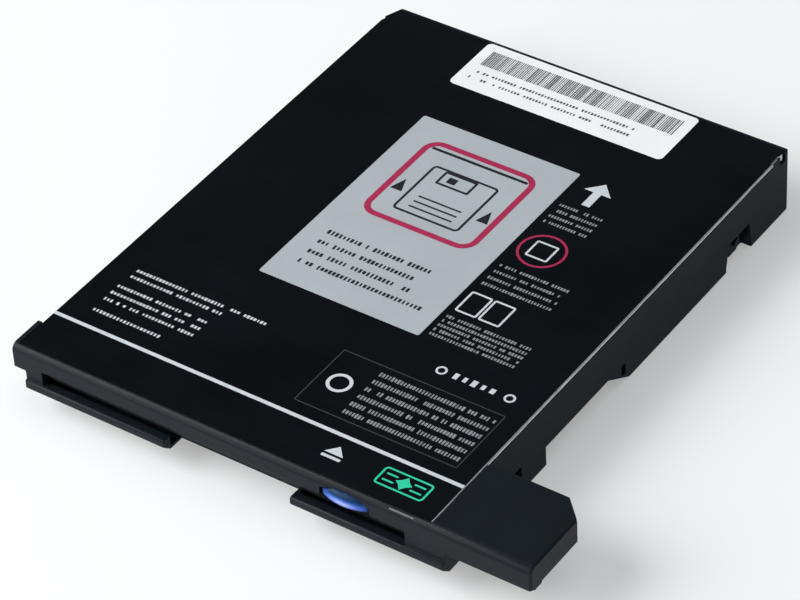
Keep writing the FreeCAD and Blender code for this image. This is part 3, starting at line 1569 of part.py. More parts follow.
def make_boards():
    """Main board, its chips, the flat cable, the track sensor and the rear connector."""
    board = Body("main_board")
    board.pad(
        "XY", "board_low", "board_thick",
        polygon(
            ("-case_in + 1.5", "disk_end - 13"), ("chassis_out - 2", "disk_end - 13"),
            ("chassis_out - 2", "back - wall - 0.4"), ("-case_in + 8", "back - wall - 0.4"),
            ("-case_in + 1.5", "back - wall - 8"),
        ),
    )
    board.pocket(
        "XY", "floor", "4",
        rectangle(
            "screw_x - stepper_radius - 1", "screw_x + stepper_radius + 1",
            "stepper_front - 0.5", "stepper_front + stepper_long + 1.6",
        ),
    )
    holes = board.pocket("XY", "floor", "4", square("boss_x", BOSS_ROWS[1], "(boss_half + fit)"))
    board.mirror(holes)

    chips = []
    for x, y, long, wide in (
        ("-1", "disk_end + 4", "chip_long", "chip_long"),
        ("boss_half - boss_x + chip_gap", "disk_end + 8", "chip_wide", "chip_long"),
        ("boss_x - boss_half - chip_gap - chip_long", "disk_end + 26", "chip_long", "chip_wide"),
        ("boss_half - boss_x + chip_gap", "disk_end + 28", "chip_wide / 2", "chip_wide"),
    ):
        chips.append(box(long, wide, "chip_high", f"mid + {x}", y, "board_top"))
    group("board_chips", chips)

    cable = Body("motor_cable")
    cable.pad(
        "XY", "board_top", "chassis_low - motor_board - board_top",
        rectangle("cable_x", "cable_x + cable_wide", "spindle_y + rotor_radius", "disk_end - 4"),
    )

    sensor = Body("track_sensor")
    sensor.pad(
        "XZ", "hinge_y", "3.6",
        polygon(
            ("rod_x + 5.5", "chassis_top"), ("rod_x + 10.5", "chassis_top"),
            ("rod_x + 10.5", "chassis_top + 2.4"), ("rod_x + 5.5", "chassis_top + 2.4"),
            ("rod_x + 5.5", "chassis_top + 1.8"), ("rod_x + 9", "chassis_top + 1.8"),
            ("rod_x + 9", "chassis_top + 0.6"), ("rod_x + 5.5", "chassis_top + 0.6"),
        ),
    )

    plug = Body("rear_connector")
    plug.pad(
        "XZ", "back - plug_long", "plug_long",
        rectangle("-plug_wide / 2", "plug_wide / 2", "board_top", "board_top + plug_high"),
    )
    plug.pocket(
        "XZ", "back - plug_long + plug_back", "plug_long",
        rectangle(
            "-plug_wide / 2 + plug_wall", "plug_wide / 2 - plug_wall",
            "board_top + plug_wall", "board_top + plug_high - plug_wall",
        ),
    )
    middle = "board_top + plug_high / 2"
    blade = "(plug_wide / 2 - contact_inset + blade_high)"
    plug.pad(
        "XZ", "back - plug_long + plug_back / 2", "plug_long - plug_back / 2 - blade_high",
        rectangle(f"-{blade}", blade, f"{middle} - blade_high / 2", f"{middle} + blade_high / 2"),
    )
    contact = Body("connector_contacts")
    contact.body.AllowCompound = True
    first = "contact_inset - plug_wide / 2"
    strip = contact.pad(
        "XY", f"{middle} + blade_high / 2", "0.15",
        rectangle(
            first, f"{first} + contact_wide",
            "back - plug_long + plug_back", "back - blade_high - contact_wide / 2",
        ),
    )
    contact.row("X", "plug_wide - 2 * contact_inset - contact_wide", "contact_count", strip)


def check():
    """Stops the build on a failed object, a bad shape or a cut that took nothing away."""
    doc.recompute()
    for thing in doc.Objects:
        if {"Invalid", "Error"} & set(thing.State):
            raise RuntimeError(f"{thing.Name} of {thing.Label} failed: {thing.State}")
        if thing.TypeId == "PartDesign::Pocket":
            if thing.Shape.Volume > thing.BaseFeature.Shape.Volume - 1e-6:
                owner = thing.getParentGeoFeatureGroup()
                raise RuntimeError(f"{thing.Name} of {owner.Label} cut nothing")
    for piece in pieces:
        if piece.Shape.isNull() or not piece.Shape.isValid() or piece.Shape.Volume <= 0:
            raise RuntimeError(f"{piece.Label} has no sound shape")


def main():
    make_tray()
    make_catch()
    make_lid()
    make_bezel()
    make_block_cover()
    make_flap()
    make_button()
    make_light()
    make_chassis()
    make_holder()
    make_guides()
    make_slide()
    make_springs()
    make_lever()
    make_motor()
    make_carriage()
    make_drive_line()
    make_datums()
    make_switches()
    make_boards()
    check()
    os.makedirs("parts", exist_ok=True)
    for piece in pieces:
        piece.Shape.exportStep(f"parts/{piece.Label}.step")
    print(len(pieces), "sub-parts written")


main()
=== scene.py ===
"""The looks of a slim floppy disk drive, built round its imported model.

Every operator makes one piece, or one group of like pieces, in the model's own frame: metres, +X to the
right seen from the front, +Y to the back, +Z up, with the drive lying on Z = 0.
"""
import math

import bmesh
import bpy
from mathutils import Matrix, Vector


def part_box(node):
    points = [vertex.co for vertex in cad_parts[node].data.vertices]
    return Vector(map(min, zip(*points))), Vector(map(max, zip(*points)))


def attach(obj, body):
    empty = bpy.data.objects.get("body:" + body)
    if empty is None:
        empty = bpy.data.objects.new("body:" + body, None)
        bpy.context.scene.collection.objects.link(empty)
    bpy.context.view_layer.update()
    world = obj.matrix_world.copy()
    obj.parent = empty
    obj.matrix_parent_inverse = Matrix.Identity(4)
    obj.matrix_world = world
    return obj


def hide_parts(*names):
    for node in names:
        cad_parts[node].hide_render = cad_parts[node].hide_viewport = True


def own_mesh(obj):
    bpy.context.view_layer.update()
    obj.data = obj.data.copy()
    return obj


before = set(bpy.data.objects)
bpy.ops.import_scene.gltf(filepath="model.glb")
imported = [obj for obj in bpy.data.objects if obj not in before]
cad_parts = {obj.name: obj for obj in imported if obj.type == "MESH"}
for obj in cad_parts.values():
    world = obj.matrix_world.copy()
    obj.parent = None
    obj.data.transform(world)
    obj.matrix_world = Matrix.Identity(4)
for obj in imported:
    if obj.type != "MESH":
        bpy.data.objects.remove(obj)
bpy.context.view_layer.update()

bl_info = {
    "name": "Slim Floppy Drive Looks",
    "version": (1, 0, 0),
    "blender": (4, 5, 0),
    "location": "View3D > Sidebar > Drive",
    "description": "Dresses a slim floppy disk drive: shells, print, labels, springs, screws and a studio",
    "category": "Object",
}

MM = 0.001
LID_LOW, LID_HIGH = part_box("top_cover")
BUTTON_LOW, BUTTON_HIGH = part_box("eject_button")

# Merging and rounding: how close points are welded, and the turns that are still flat or already an edge
WELD = 0.002 * MM
FLAT = math.radians(0.5)
SHARP = math.radians(50)

# Shading: the breadth of a broad face, and the cosines of the turns that part broad and narrow faces
BROAD = 0.22 * MM
BROAD_TURN = math.cos(math.radians(14))
NARROW_TURN = math.cos(math.radians(50))
TINY = 1e-9

# The lid's sheared edge: how far it reaches in from the right and how far its faces look right, and the
# front and underside of the clip behind it
SHEARED_REACH = 1.2 * MM
SHEARED_TURN = 0.3
CLIP_FRONT = 66.4 * MM
CLIP_LOW = 16.0 * MM

# The rim of the front moulding that stays sharp: how low it reaches, its line along the lid's front edge,
# its line along the block, each with the room to either side, and how far back that one goes
RIM_LOW = 16.2 * MM
RIM_Y = -69.1 * MM
RIM_Y_ROOM = 0.1 * MM
RIM_X = 41.1 * MM
RIM_X_ROOM = 0.4 * MM
RIM_BACK = -68.2 * MM

# The wall behind the right lower lip: its section over Y and Z in millimetres, and its two ends
LIP_WALL_SECTION = ((-68.6, 5.5), (-64.2, 5.5), (-64.2, 7.5), (-65.1, 8.3), (-68.6, 8.3))
LIP_WALL_ENDS = (6.93 * MM, 7.9 * MM)

# The rounded top edge of the front moulding: its radius and the middle of its curve
ROLL = 1.8 * MM
ROLL_Y = -68.3 * MM
ROLL_Z = 14.8 * MM

# The arch over the button: its middle, its half width, its top, how far it drops at its ends and how
# steeply, how far up and back the piece that makes it reaches, and how far its ends run into the moulding
# and its face stands before it
ARCH_MIDDLE = 20.2 * MM
ARCH_HALF = 6.05 * MM
ARCH_TOP = 15.58 * MM
ARCH_DROP = 1.5 * MM
ARCH_STEEPNESS = 2.6
ARCH_HIGH = 15.7 * MM
ARCH_BACK = -68.52 * MM
ARCH_OVERLAP = 0.2 * MM
ARCH_PROUD = 0.02 * MM

# The button's lens: its back, and its clearance under the arch
LENS_BACK = -68.5 * MM
LENS_CLEARANCE = 0.12 * MM


# Properties

def length(name, description, millimetres):
    """A size that the sidebar shows as a length."""
    return bpy.props.FloatProperty(
        name=name, description=description, default=millimetres * MM, unit="LENGTH", precision=5
    )


def colour(name, description, red, green, blue):
    """A colour in linear light."""
    return bpy.props.FloatVectorProperty(
        name=name, description=description, default=(red, green, blue), subtype="COLOR", min=0.0, max=1.0
    )


class ShellSettings(bpy.types.PropertyGroup):
    """Sizes and colours of the outer shells."""
    edge: length("Edge rounding", "Radius of the small edges of the moulded shells", 0.18)
    sheet_edge: length("Sheet edge", "Radius of the edges of the lid's sheet", 0.12)
    print_room: length("Print room", "How far the lid's face is lowered for labels and print", 0.06)
    plastic: colour("Case plastic", "Black plastic of the tray", 0.0022, 0.0072, 0.0138)
    front: colour("Front plastic", "Dark grey plastic of the front and bay block", 0.0040, 0.0073, 0.0114)
    paint: colour("Lid paint", "Satin black paint of the lid", 0.0012, 0.0024, 0.0040)
    button: colour("Button", "Blue of the eject button", 0.030, 0.075, 0.62)


class PrintSettings(bpy.types.PropertyGroup):
    """Sizes and colours of what is printed on the lid or stuck to it."""
    ink: length("Ink", "Thickness of the printed marks", 0.012)
    label: length("Label", "Thickness of the labels", 0.042)
    stripe_front: length("Stripe front", "Front edge of the white stripe", -57.5)
    stripe_wide: length("Stripe width", "Width of the white stripe", 0.95)
    grey_left: length("Grey label left", "Left edge of the grey label", -34.5)
    grey_front: length("Grey label front", "Front edge of the grey label", -23.4)
    grey_wide: length("Grey label width", "Width of the grey label", 41.2)
    grey_long: length("Grey label length", "Length of the grey label", 63.2)
    code_left: length("Code label left", "Left edge of the white label", -37.0)
    code_front: length("Code label front", "Front edge of the white label", 53.0)
    code_wide: length("Code label width", "Width of the white label", 56.0)
    code_long: length("Code label length", "Length of the white label", 17.0)
    white: colour("White ink", "Ink of the stripe and the small print", 0.62, 0.66, 0.70)
    faded: colour("Faded ink", "Thinner white ink of the finest print", 0.26, 0.28, 0.30)
    line: colour("Frame ink", "Grey ink of the thin frame", 0.045, 0.05, 0.055)
    code: colour("Code ink", "Grey ink of the bars on the white label", 0.085, 0.085, 0.09)
    black: colour("Black ink", "Ink on the labels", 0.012, 0.014, 0.018)
    magenta: colour("Magenta ink", "Ink of the rings", 0.40, 0.022, 0.085)
    teal: colour("Teal ink", "Ink of the disk sign", 0.030, 0.62, 0.37)
    silver: colour("Grey label stock", "Silver grey film of the large label", 0.44, 0.48, 0.51)
    paper: colour("White label stock", "Coated paper of the code label", 0.93, 0.95, 0.96)


class StageSettings(bpy.types.PropertyGroup):
    """The floor, the lamps and the camera."""
    floor: colour("Floor", "Plain pale floor", 0.62, 0.625, 0.63)
    lift: bpy.props.FloatProperty(
        name="Floor lift", description="Light added where the floor is seen, so that it looks near white",
        default=0.34, min=0.0, max=1.0,
    )
    far_lift: bpy.props.FloatProperty(
        name="Far floor lift", description="The same far from the drive, where less light falls",
        default=0.85, min=0.0, max=1.0,
    )
    key: bpy.props.FloatProperty(
        name="Key lamp", description="Power of the large lamp at the front left", default=29.0, unit="POWER"
    )
    fill: bpy.props.FloatProperty(
        name="Fill lamp", description="Power of the soft lamp overhead", default=4.0, unit="POWER"
    )
    focal: bpy.props.FloatProperty(
        name="Focal length", description="Focal length of the camera in millimetres", default=176.04
    )
    yaw: bpy.props.FloatProperty(
        name="Yaw", description="How far right of the front the camera stands",
        default=math.radians(36.62), subtype="ANGLE",
    )
    pitch: bpy.props.FloatProperty(
        name="Pitch", description="How far the camera looks down", default=math.radians(40.03),
        subtype="ANGLE",
    )
    roll: bpy.props.FloatProperty(
        name="Roll", description="Turn of the camera about its own axis", default=math.radians(-3.47),
        subtype="ANGLE",
    )
    place: bpy.props.FloatVectorProperty(
        name="Camera place", description="Where the camera stands", default=(0.3736, -0.5227, 0.5470),
        subtype="TRANSLATION",
    )


SETTINGS = {"drive_shell": ShellSettings, "drive_print": PrintSettings, "drive_stage": StageSettings}


# Node trees

class Nodes:
    """A node tree in the making."""

    def __init__(self, tree):
        self.tree = tree

    def node(self, kind, inputs=(), **settings):
        """A new node. `inputs` maps a socket's name or number to a value or to another node's output."""
        made = self.tree.nodes.new(kind)
        for key, value in settings.items():
            setattr(made, key, value)
        for key, value in dict(inputs).items():
            if isinstance(value, bpy.types.NodeSocket):
                self.tree.links.new(value, made.inputs[key])
            else:
                made.inputs[key].default_value = value
        return made

    def maths(self, operation, first, second):
        """A sum, product or the like of two numbers."""
        return self.node("ShaderNodeMath", {0: first, 1: second}, operation=operation).outputs[0]


# Finishes

class Finish(Nodes):
    """A material in the making. Its patterns read Object coordinates, in metres."""

    def __init__(self, name, metallic=0.0, specular=0.5, coat=0.0, coat_roughness=0.1):
        self.material = bpy.data.materials.new(name)
        self.material.use_nodes = True
        super().__init__(self.material.node_tree)
        self.shader = self.tree.nodes["Principled BSDF"]
        self.shader.inputs["Metallic"].default_value = metallic
        self.shader.inputs["Specular IOR Level"].default_value = specular
        self.shader.inputs["Coat Weight"].default_value = coat
        self.shader.inputs["Coat Roughness"].default_value = coat_roughness
        self.place = self.node("ShaderNodeTexCoord").outputs["Object"]
        self.normal = None

    def stretched(self, stretch):
        """Object coordinates drawn out along the axes whose stretch is over 1."""
        scale = tuple(1 / along for along in stretch)
        return self.node("ShaderNodeMapping", {"Vector": self.place, "Scale": scale}).outputs[0]

    def noise(self, size, detail=3.0, roughness=0.5, stretch=(1, 1, 1)):
        """A cloudy pattern whose features are about `size` across."""
        inputs = {
            "Vector": self.stretched(stretch), "Scale": 1 / size, "Detail": detail, "Roughness": roughness
        }
        return self.node("ShaderNodeTexNoise", inputs).outputs[0]

    def cells(self, size, stretch=(1, 1, 1), feature="F1"):
        """A pattern of cells about `size` across."""
        inputs = {"Vector": self.stretched(stretch), "Scale": 1 / size}
        return self.node("ShaderNodeTexVoronoi", inputs, feature=feature).outputs["Distance"]

    def bands(self, size, direction="X"):
        """Straight soft bands `size` apart."""
        inputs = {"Vector": self.place, "Scale": 0.314 / size}
        return self.node("ShaderNodeTexWave", inputs, bands_direction=direction).outputs[0]

    def mix(self, first, second, share):
        """Two patterns mixed; `share` is the second one's part."""
        inputs = {0: share, 2: first, 3: second}
        return self.node("ShaderNodeMix", inputs, data_type="FLOAT").outputs[0]

    def colour(self, pattern, *stops):
        """The base colour from a pattern. Each stop is a place from 0 to 1 and a linear colour."""
        ramp = self.node("ShaderNodeValToRGB", {0: pattern})
        elements = ramp.color_ramp.elements
        while len(elements) < len(stops):
            elements.new(1.0)
        for element, (at, rgb) in zip(elements, stops):
            element.position = at
            element.color = (*rgb, 1.0)
        self.tree.links.new(ramp.outputs[0], self.shader.inputs["Base Color"])
        return self

    def tint(self, pattern, rgb, spread=0.25):
        """The base colour: `rgb`, darker and lighter by `spread` with the pattern."""
        dark = tuple(part * (1 - spread) for part in rgb)
        light = tuple(part * (1 + spread) for part in rgb)
        return self.colour(pattern, (0.3, dark), (0.7, light))

    def gloss(self, pattern, low, high):
        """Roughness from `low` to `high` with the pattern."""
        inputs = {"Value": pattern, "From Min": 0.3, "From Max": 0.7, "To Min": low, "To Max": high}
        spread = self.node("ShaderNodeMapRange", inputs).outputs[0]
        self.tree.links.new(spread, self.shader.inputs["Roughness"])
        return self

    def bump(self, pattern, depth, strength=1.0):
        """Relief `depth` deep, laid over any relief made before."""
        inputs = {"Height": pattern, "Distance": depth, "Strength": strength}
        if self.normal is not None:
            inputs["Normal"] = self.normal
        self.normal = self.node("ShaderNodeBump", inputs).outputs[0]
        self.tree.links.new(self.normal, self.shader.inputs["Normal"])
        return self

    def set(self, **values):
        """Sets constants on the shader. A socket's name is written with _ for each space."""
        for name, value in values.items():
            self.shader.inputs[name.replace("_", " ")].default_value = value
        return self


def moulded(name, rgb, specular=0.2, grain=0.32, depth=0.016):
    """Moulded plastic with the fine grain of an etched mould."""
    made = Finish(name, specular=specular)
    grain_pattern = made.noise(grain * MM, detail=2.0)
    cloud = made.noise(9 * MM)
    made.tint(made.mix(grain_pattern, cloud, 0.5), rgb, 0.22)
    made.gloss(grain_pattern, 0.42, 0.58)
    made.bump(grain_pattern, depth * MM, 0.8)
    return made.material


def painted(name, rgb):
    """Satin paint on sheet steel: a faint orange peel, clouded gloss and a few rubbed streaks."""
    made = Finish(name, specular=0.12)
    peel = made.noise(1.1 * MM, detail=1.0)
    cloud = made.noise(26 * MM, detail=4.0)
    streaks = made.noise(0.5 * MM, detail=2.0, stretch=(30, 2, 1))
    made.tint(made.mix(cloud, streaks, 0.25), rgb, 0.35)
    made.gloss(made.mix(cloud, streaks, 0.4), 0.30, 0.46)
    made.bump(peel, 0.006 * MM, 0.5)
    return made.material


def bare_edge(name):
    """Bare bright steel where a sheared edge shows through the paint."""
    made = Finish(name, metallic=1.0)
    drawn = made.noise(0.4 * MM, detail=3.0, stretch=(1, 14, 1))
    made.colour(drawn, (0.25, (0.22, 0.24, 0.26)), (0.5, (0.62, 0.65, 0.68)), (0.8, (0.86, 0.88, 0.90)))
    made.gloss(drawn, 0.22, 0.42)
    made.bump(drawn, 0.004 * MM, 0.6)
    return made.material


def steel(name, rgb=(0.52, 0.54, 0.56), along=(1, 18, 1), low=0.26, high=0.42, line=0.14):
    """Plated sheet steel with the fine lines of rolling."""
    made = Finish(name, metallic=1.0)
    lines = made.noise(line * MM, detail=2.0, stretch=along)
    cloud = made.noise(7 * MM, detail=4.0)
    made.tint(made.mix(cloud, lines, 0.5), rgb, 0.16)
    made.gloss(made.mix(cloud, lines, 0.5), low, high)
    made.bump(lines, 0.003 * MM, 0.5)
    return made.material


def turned(name, rgb, low=0.16, high=0.32):
    """Turned or drawn metal with fine even tool marks."""
    made = Finish(name, metallic=1.0)
    marks = made.noise(0.09 * MM, detail=2.0)
    made.tint(marks, rgb, 0.14)
    made.gloss(marks, low, high)
    made.bump(marks, 0.002 * MM, 0.4)
    return made.material


def enamelled(name, rgb):
    """Enamelled copper wire laid in close turns."""
    made = Finish(name, metallic=0.9, coat=0.6)
    turns = made.bands(0.12 * MM, "Z")
    made.tint(made.mix(turns, made.noise(0.6 * MM), 0.3), rgb, 0.3)
    made.gloss(turns, 0.22, 0.4)
    made.bump(turns, 0.02 * MM, 0.6)
    return made.material


def circuit_board(name):
    """Green solder resist over tracks, with bare tinned pads."""
    made = Finish(name, specular=0.45, coat=0.3)
    tracks = made.cells(1.6 * MM, stretch=(1, 2.4, 1))
    cloud = made.noise(4 * MM)
    made.colour(
        made.mix(tracks, cloud, 0.25),
        (0.18, (0.55, 0.57, 0.55)), (0.22, (0.010, 0.085, 0.040)),
        (0.42, (0.016, 0.125, 0.060)), (0.62, (0.008, 0.070, 0.034)),
    )
    made.gloss(tracks, 0.26, 0.4)
    made.bump(tracks, 0.02 * MM, 0.4)
    return made.material


def film(name):
    """Amber film over flat copper conductors."""
    made = Finish(name, specular=0.5, coat=0.8, coat_roughness=0.15)
    strips = made.bands(0.8 * MM, "X")
    made.colour(strips, (0.3, (0.30, 0.10, 0.012)), (0.6, (0.52, 0.22, 0.035)))
    made.gloss(strips, 0.2, 0.34)
    made.bump(strips, 0.01 * MM, 0.5)
    return made.material


def glossy_button(name, rgb):
    """Blue lens plastic of the eject button, with painted light on it: a pale painted highlight along its
    lower half, and painted shade in deep blue above and at its ends.
    """
    made = Finish(name, specular=0.12)
    middle = (BUTTON_LOW + BUTTON_HIGH) / 2
    reach = (BUTTON_HIGH - BUTTON_LOW) / 2
    wide, high = 1.35 * reach.x, 0.95 * reach.z
    inputs = {
        "Vector": made.place,
        "Location": (-middle.x / wide, 0.0, -(middle.z - 0.42 * reach.z) / high),
        "Scale": (1 / wide, 0.0, 1 / high),
    }
    centred = made.node("ShaderNodeMapping", inputs).outputs[0]
    away = made.node("ShaderNodeVectorMath", {0: centred}, operation="LENGTH").outputs["Value"]
    cloud = made.noise(1.2 * MM, detail=3.0)
    # The colour fades from a pale painted highlight below the lens's middle to painted shade in deep blue
    # at its top and ends.
    painted_shade_blue = (0.25 * rgb[0], 0.45 * rgb[1], 0.16 * rgb[2])
    upper = (0.5 * rgb[0], 1.2 * rgb[1], 0.55 * rgb[2])
    made.colour(
        made.mix(away, cloud, 0.08),
        (0.16, (0.42, 0.52, 0.95)), (0.42, (0.13, 0.22, 0.80)), (0.68, upper), (0.98, painted_shade_blue),
    )
    made.gloss(cloud, 0.34, 0.46)
    made.bump(made.noise(0.3 * MM), 0.003 * MM, 0.4)
    made.set(Subsurface_Weight=0.15, Subsurface_Scale=0.0006)
    return made.material


def milky(name, rgb, weight=0.35, specular=0.5):
    """Milky plastic that passes light."""
    made = Finish(name, specular=specular)
    cloud = made.noise(0.8 * MM)
    made.tint(cloud, rgb, 0.08)
    made.gloss(cloud, 0.36, 0.5)
    made.bump(cloud, 0.004 * MM, 0.4)
    made.set(Subsurface_Weight=weight, Subsurface_Scale=0.0008)
    return made.material


def label_stock(name, rgb, fibre=0.22, low=0.34, high=0.5):
    """Coated label stock with a faint fibre and slow unevenness."""
    made = Finish(name, specular=0.35)
    fibres = made.noise(fibre * MM, detail=3.0, stretch=(2, 1, 1))
    cloud = made.noise(14 * MM, detail=3.0)
    made.tint(made.mix(cloud, fibres, 0.4), rgb, 0.05)
    made.gloss(cloud, low, high)
    made.bump(fibres, 0.003 * MM, 0.5)
    return made.material


def printed(name, rgb, spread=0.12):
    """Screen-printed ink: slightly uneven cover with the mesh's grain."""
    made = Finish(name, specular=0.3)
    grain = made.noise(0.16 * MM, detail=2.0)
    cover = made.noise(1.7 * MM, detail=3.0)
    made.tint(made.mix(grain, cover, 0.5), rgb, spread)
    made.gloss(grain, 0.4, 0.6)
    made.bump(grain, 0.003 * MM, 0.4)
    return made.material


def finish(name):
    """The finish of that name, made the first time that it is asked for.

    Its material's name differs from those of the solids' own materials."""
    look = "look_" + name
    found = bpy.data.materials.get(look)
    if found is not None:
        return found
    shell = bpy.context.scene.drive_shell
    ink = bpy.context.scene.drive_print
    finishes = {
        "case_black": (moulded, dict(rgb=shell.plastic, specular=0.08)),
        "front_grey": (moulded, dict(rgb=shell.front, grain=0.28)),
        "lid_paint": (painted, dict(rgb=shell.paint)),
        "lid_edge": (bare_edge, dict()),
        "button_blue": (glossy_button, dict(rgb=shell.button)),
        "pale_light": (milky, dict(rgb=(0.17, 0.19, 0.185), weight=0.0, specular=0.2)),
        "lamp_green": (milky, dict(rgb=(0.10, 0.42, 0.16), weight=0.6)),
        "flap_black": (moulded, dict(rgb=(0.010, 0.011, 0.013), grain=0.22)),
        "sheet_steel": (steel, dict()),
        "motor_steel": (steel, dict(rgb=(0.60, 0.61, 0.62), along=(6, 6, 1), low=0.2, high=0.34)),
        "pin_steel": (turned, dict(rgb=(0.66, 0.67, 0.68))),
        "bronze": (turned, dict(rgb=(0.52, 0.33, 0.14))),
        "gold": (turned, dict(rgb=(0.80, 0.56, 0.20))),
        "copper_wire": (enamelled, dict(rgb=(0.52, 0.17, 0.05))),
        "magnet": (moulded, dict(rgb=(0.045, 0.044, 0.046), specular=0.5, grain=0.18)),
        "board_green": (circuit_board, dict()),
        "chip_black": (moulded, dict(rgb=(0.012, 0.012, 0.013), grain=0.12, depth=0.006)),
        "plug_black": (moulded, dict(rgb=(0.016, 0.016, 0.017), grain=0.2)),
        "head_white": (moulded, dict(rgb=(0.66, 0.66, 0.62), specular=0.6, grain=0.1, depth=0.003)),
        "frame_white": (moulded, dict(rgb=(0.60, 0.585, 0.53), grain=0.3)),
        "amber_film": (film, dict()),
        "ink_white": (printed, dict(rgb=ink.white)),
        "ink_faded": (printed, dict(rgb=ink.faded, spread=0.3)),
        "ink_line": (printed, dict(rgb=ink.line, spread=0.2)),
        "ink_code": (printed, dict(rgb=ink.code, spread=0.2)),
        "ink_black": (printed, dict(rgb=ink.black)),
        "ink_magenta": (printed, dict(rgb=ink.magenta)),
        "ink_teal": (printed, dict(rgb=ink.teal)),
        "silver_film": (label_stock, dict(rgb=ink.silver, low=0.28, high=0.42)),
        "coated_paper": (label_stock, dict(rgb=ink.paper)),
        "screw_black": (turned, dict(rgb=(0.10, 0.10, 0.105), low=0.28, high=0.42)),
    }
    make, choices = finishes[name]
    return make(look, **choices)


# Pieces

def new_piece(name, mesh, *finishes):
    """An object of that mesh in the scene, with its materials."""
    made = bpy.data.objects.new(name, mesh)
    bpy.context.scene.collection.objects.link(made)
    mesh.materials.clear()
    for each in finishes:
        mesh.materials.append(finish(each))
    return made


def plain(piece):
    """Puts a piece's evaluated shape in its mesh and takes its modifiers off."""
    graph = bpy.context.evaluated_depsgraph_get()
    mesh = bpy.data.meshes.new_from_object(
        piece.evaluated_get(graph), preserve_all_data_layers=True, depsgraph=graph
    )
    old = piece.data
    piece.modifiers.clear()
    piece.data = mesh
    mesh.name = piece.name
    bpy.data.meshes.remove(old)
    return piece


def settle(piece, body, slot, *nodes):
    """The piece rides on its body and stands for its nodes, whose CAD parts are hidden. Its slot is not
    used.
    """
    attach(piece, body)
    if nodes:
        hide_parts(*nodes)
    return piece


def node_shape(node):
    """A merged copy of a CAD node's mesh, with its flat faces made whole."""
    shape = bmesh.new()
    shape.from_mesh(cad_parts[node].data)
    bmesh.ops.remove_doubles(shape, verts=shape.verts, dist=WELD)
    bmesh.ops.dissolve_limit(
        shape, angle_limit=FLAT, verts=shape.verts, edges=shape.edges, delimit={"NORMAL"}
    )
    return shape


def mesh_of(shape, name):
    """The mesh of a finished shape. The shape itself is then done with."""
    mesh = bpy.data.meshes.new(name)
    shape.to_mesh(mesh)
    shape.free()
    return mesh


def closed_piece(shape, name, finish_name):
    """A piece of a closed shape, with its faces pointing outwards."""
    bmesh.ops.recalc_face_normals(shape, faces=shape.faces)
    return new_piece(name, mesh_of(shape, name), finish_name)


def dress(node, name, body, slot, edge, *finishes, change=None, cutter=None, keep=None, segments=2):
    """A closed copy of a CAD node with softened edges, which rides on the body and stands for the node.

    `change` may alter its shape first, what lies inside `cutter` is cut away, and the edges that `keep`
    picks out stay sharp."""
    shape = node_shape(node)
    if change is not None:
        change(shape)
    piece = new_piece(name, mesh_of(shape, name), *finishes)
    if cutter is not None:
        cut = piece.modifiers.new("Cuts", "BOOLEAN")
        cut.operation = "DIFFERENCE"
        cut.solver = "EXACT"
        cut.object = cutter
        plain(piece)
        bpy.data.meshes.remove(cutter.data)
    return settle(soften(piece, edge, keep, segments), body, slot, node)


def soften(piece, edge, keep=None, segments=2):
    """Rounds the sharp edges of a piece, apart from those that `keep` picks out, and shades it smooth."""
    shape = bmesh.new()
    shape.from_mesh(piece.data)
    weight = shape.edges.layers.float.new("bevel_weight_edge")
    for line in shape.edges:
        sharp = line.is_manifold and line.calc_face_angle() > SHARP
        line[weight] = 1.0 if sharp and not (keep and keep(line)) else 0.0
    shape.to_mesh(piece.data)
    shape.free()
    bevel = piece.modifiers.new("Soft edges", "BEVEL")
    bevel.width = edge
    bevel.segments = segments
    bevel.limit_method = "WEIGHT"
    bevel.use_clamp_overlap = False
    bevel.miter_outer = "MITER_ARC"
    plain(piece)
    shade(piece.data)
    return piece


def shade(mesh):
    """Shades rounded edges smoothly and keeps broad faces flat.

    The normal at a corner is a mean over the faces round it that turn little from its own. The broad
    ones count far more than the narrow strips of a rounded edge."""
    for face in mesh.polygons:
        face.use_smooth = True
    shape = bmesh.new()
    shape.from_mesh(mesh)
    breadth = {}
    for face in shape.faces:
        round_it = sum(line.calc_length() for line in face.edges)
        breadth[face] = face.calc_area() / max(round_it, TINY)
    normals = []
    for face in shape.faces:
        broad = breadth[face] > BROAD
        for corner in face.loops:
            total = Vector()
            for near in corner.vert.link_faces:
                turn = BROAD_TURN if broad and breadth[near] > BROAD else NARROW_TURN
                if face.normal.dot(near.normal) > turn:
                    total += near.normal * breadth[near] ** 3
            normals.append(total.normalized() if total.length > 0 else face.normal.copy())
    shape.free()
    mesh.normals_split_custom_set(normals)


def join(shape, first, second):
    """Faces between two outlines with as many points each."""
    for here in range(len(first)):
        there = (here + 1) % len(first)
        shape.faces.new((first[here], first[there], second[there], second[here]))


def loft(shape, sections):
    """A closed body over sections with as many points each."""
    rings = [[shape.verts.new(point) for point in section] for section in sections]
    shape.faces.new(reversed(rings[0]))
    shape.faces.new(rings[-1])
    for first, second in zip(rings, rings[1:]):
        join(shape, first, second)


# Printed marks

def loop(left, right, front, back, radius, steps=6):
    """Points of a rectangle with rounded corners, the same count for any size."""
    points = []
    corners = ((right, back, 0), (left, back, 1), (left, front, 2), (right, front, 3))
    for x, y, quarter in corners:
        centre_x = x - radius if x == right else x + radius
        centre_y = y - radius if y == back else y + radius
        for step in range(steps + 1):
            angle = (quarter + step / steps) * math.pi / 2
            points.append((centre_x + radius * math.cos(angle), centre_y + radius * math.sin(angle)))
    return points


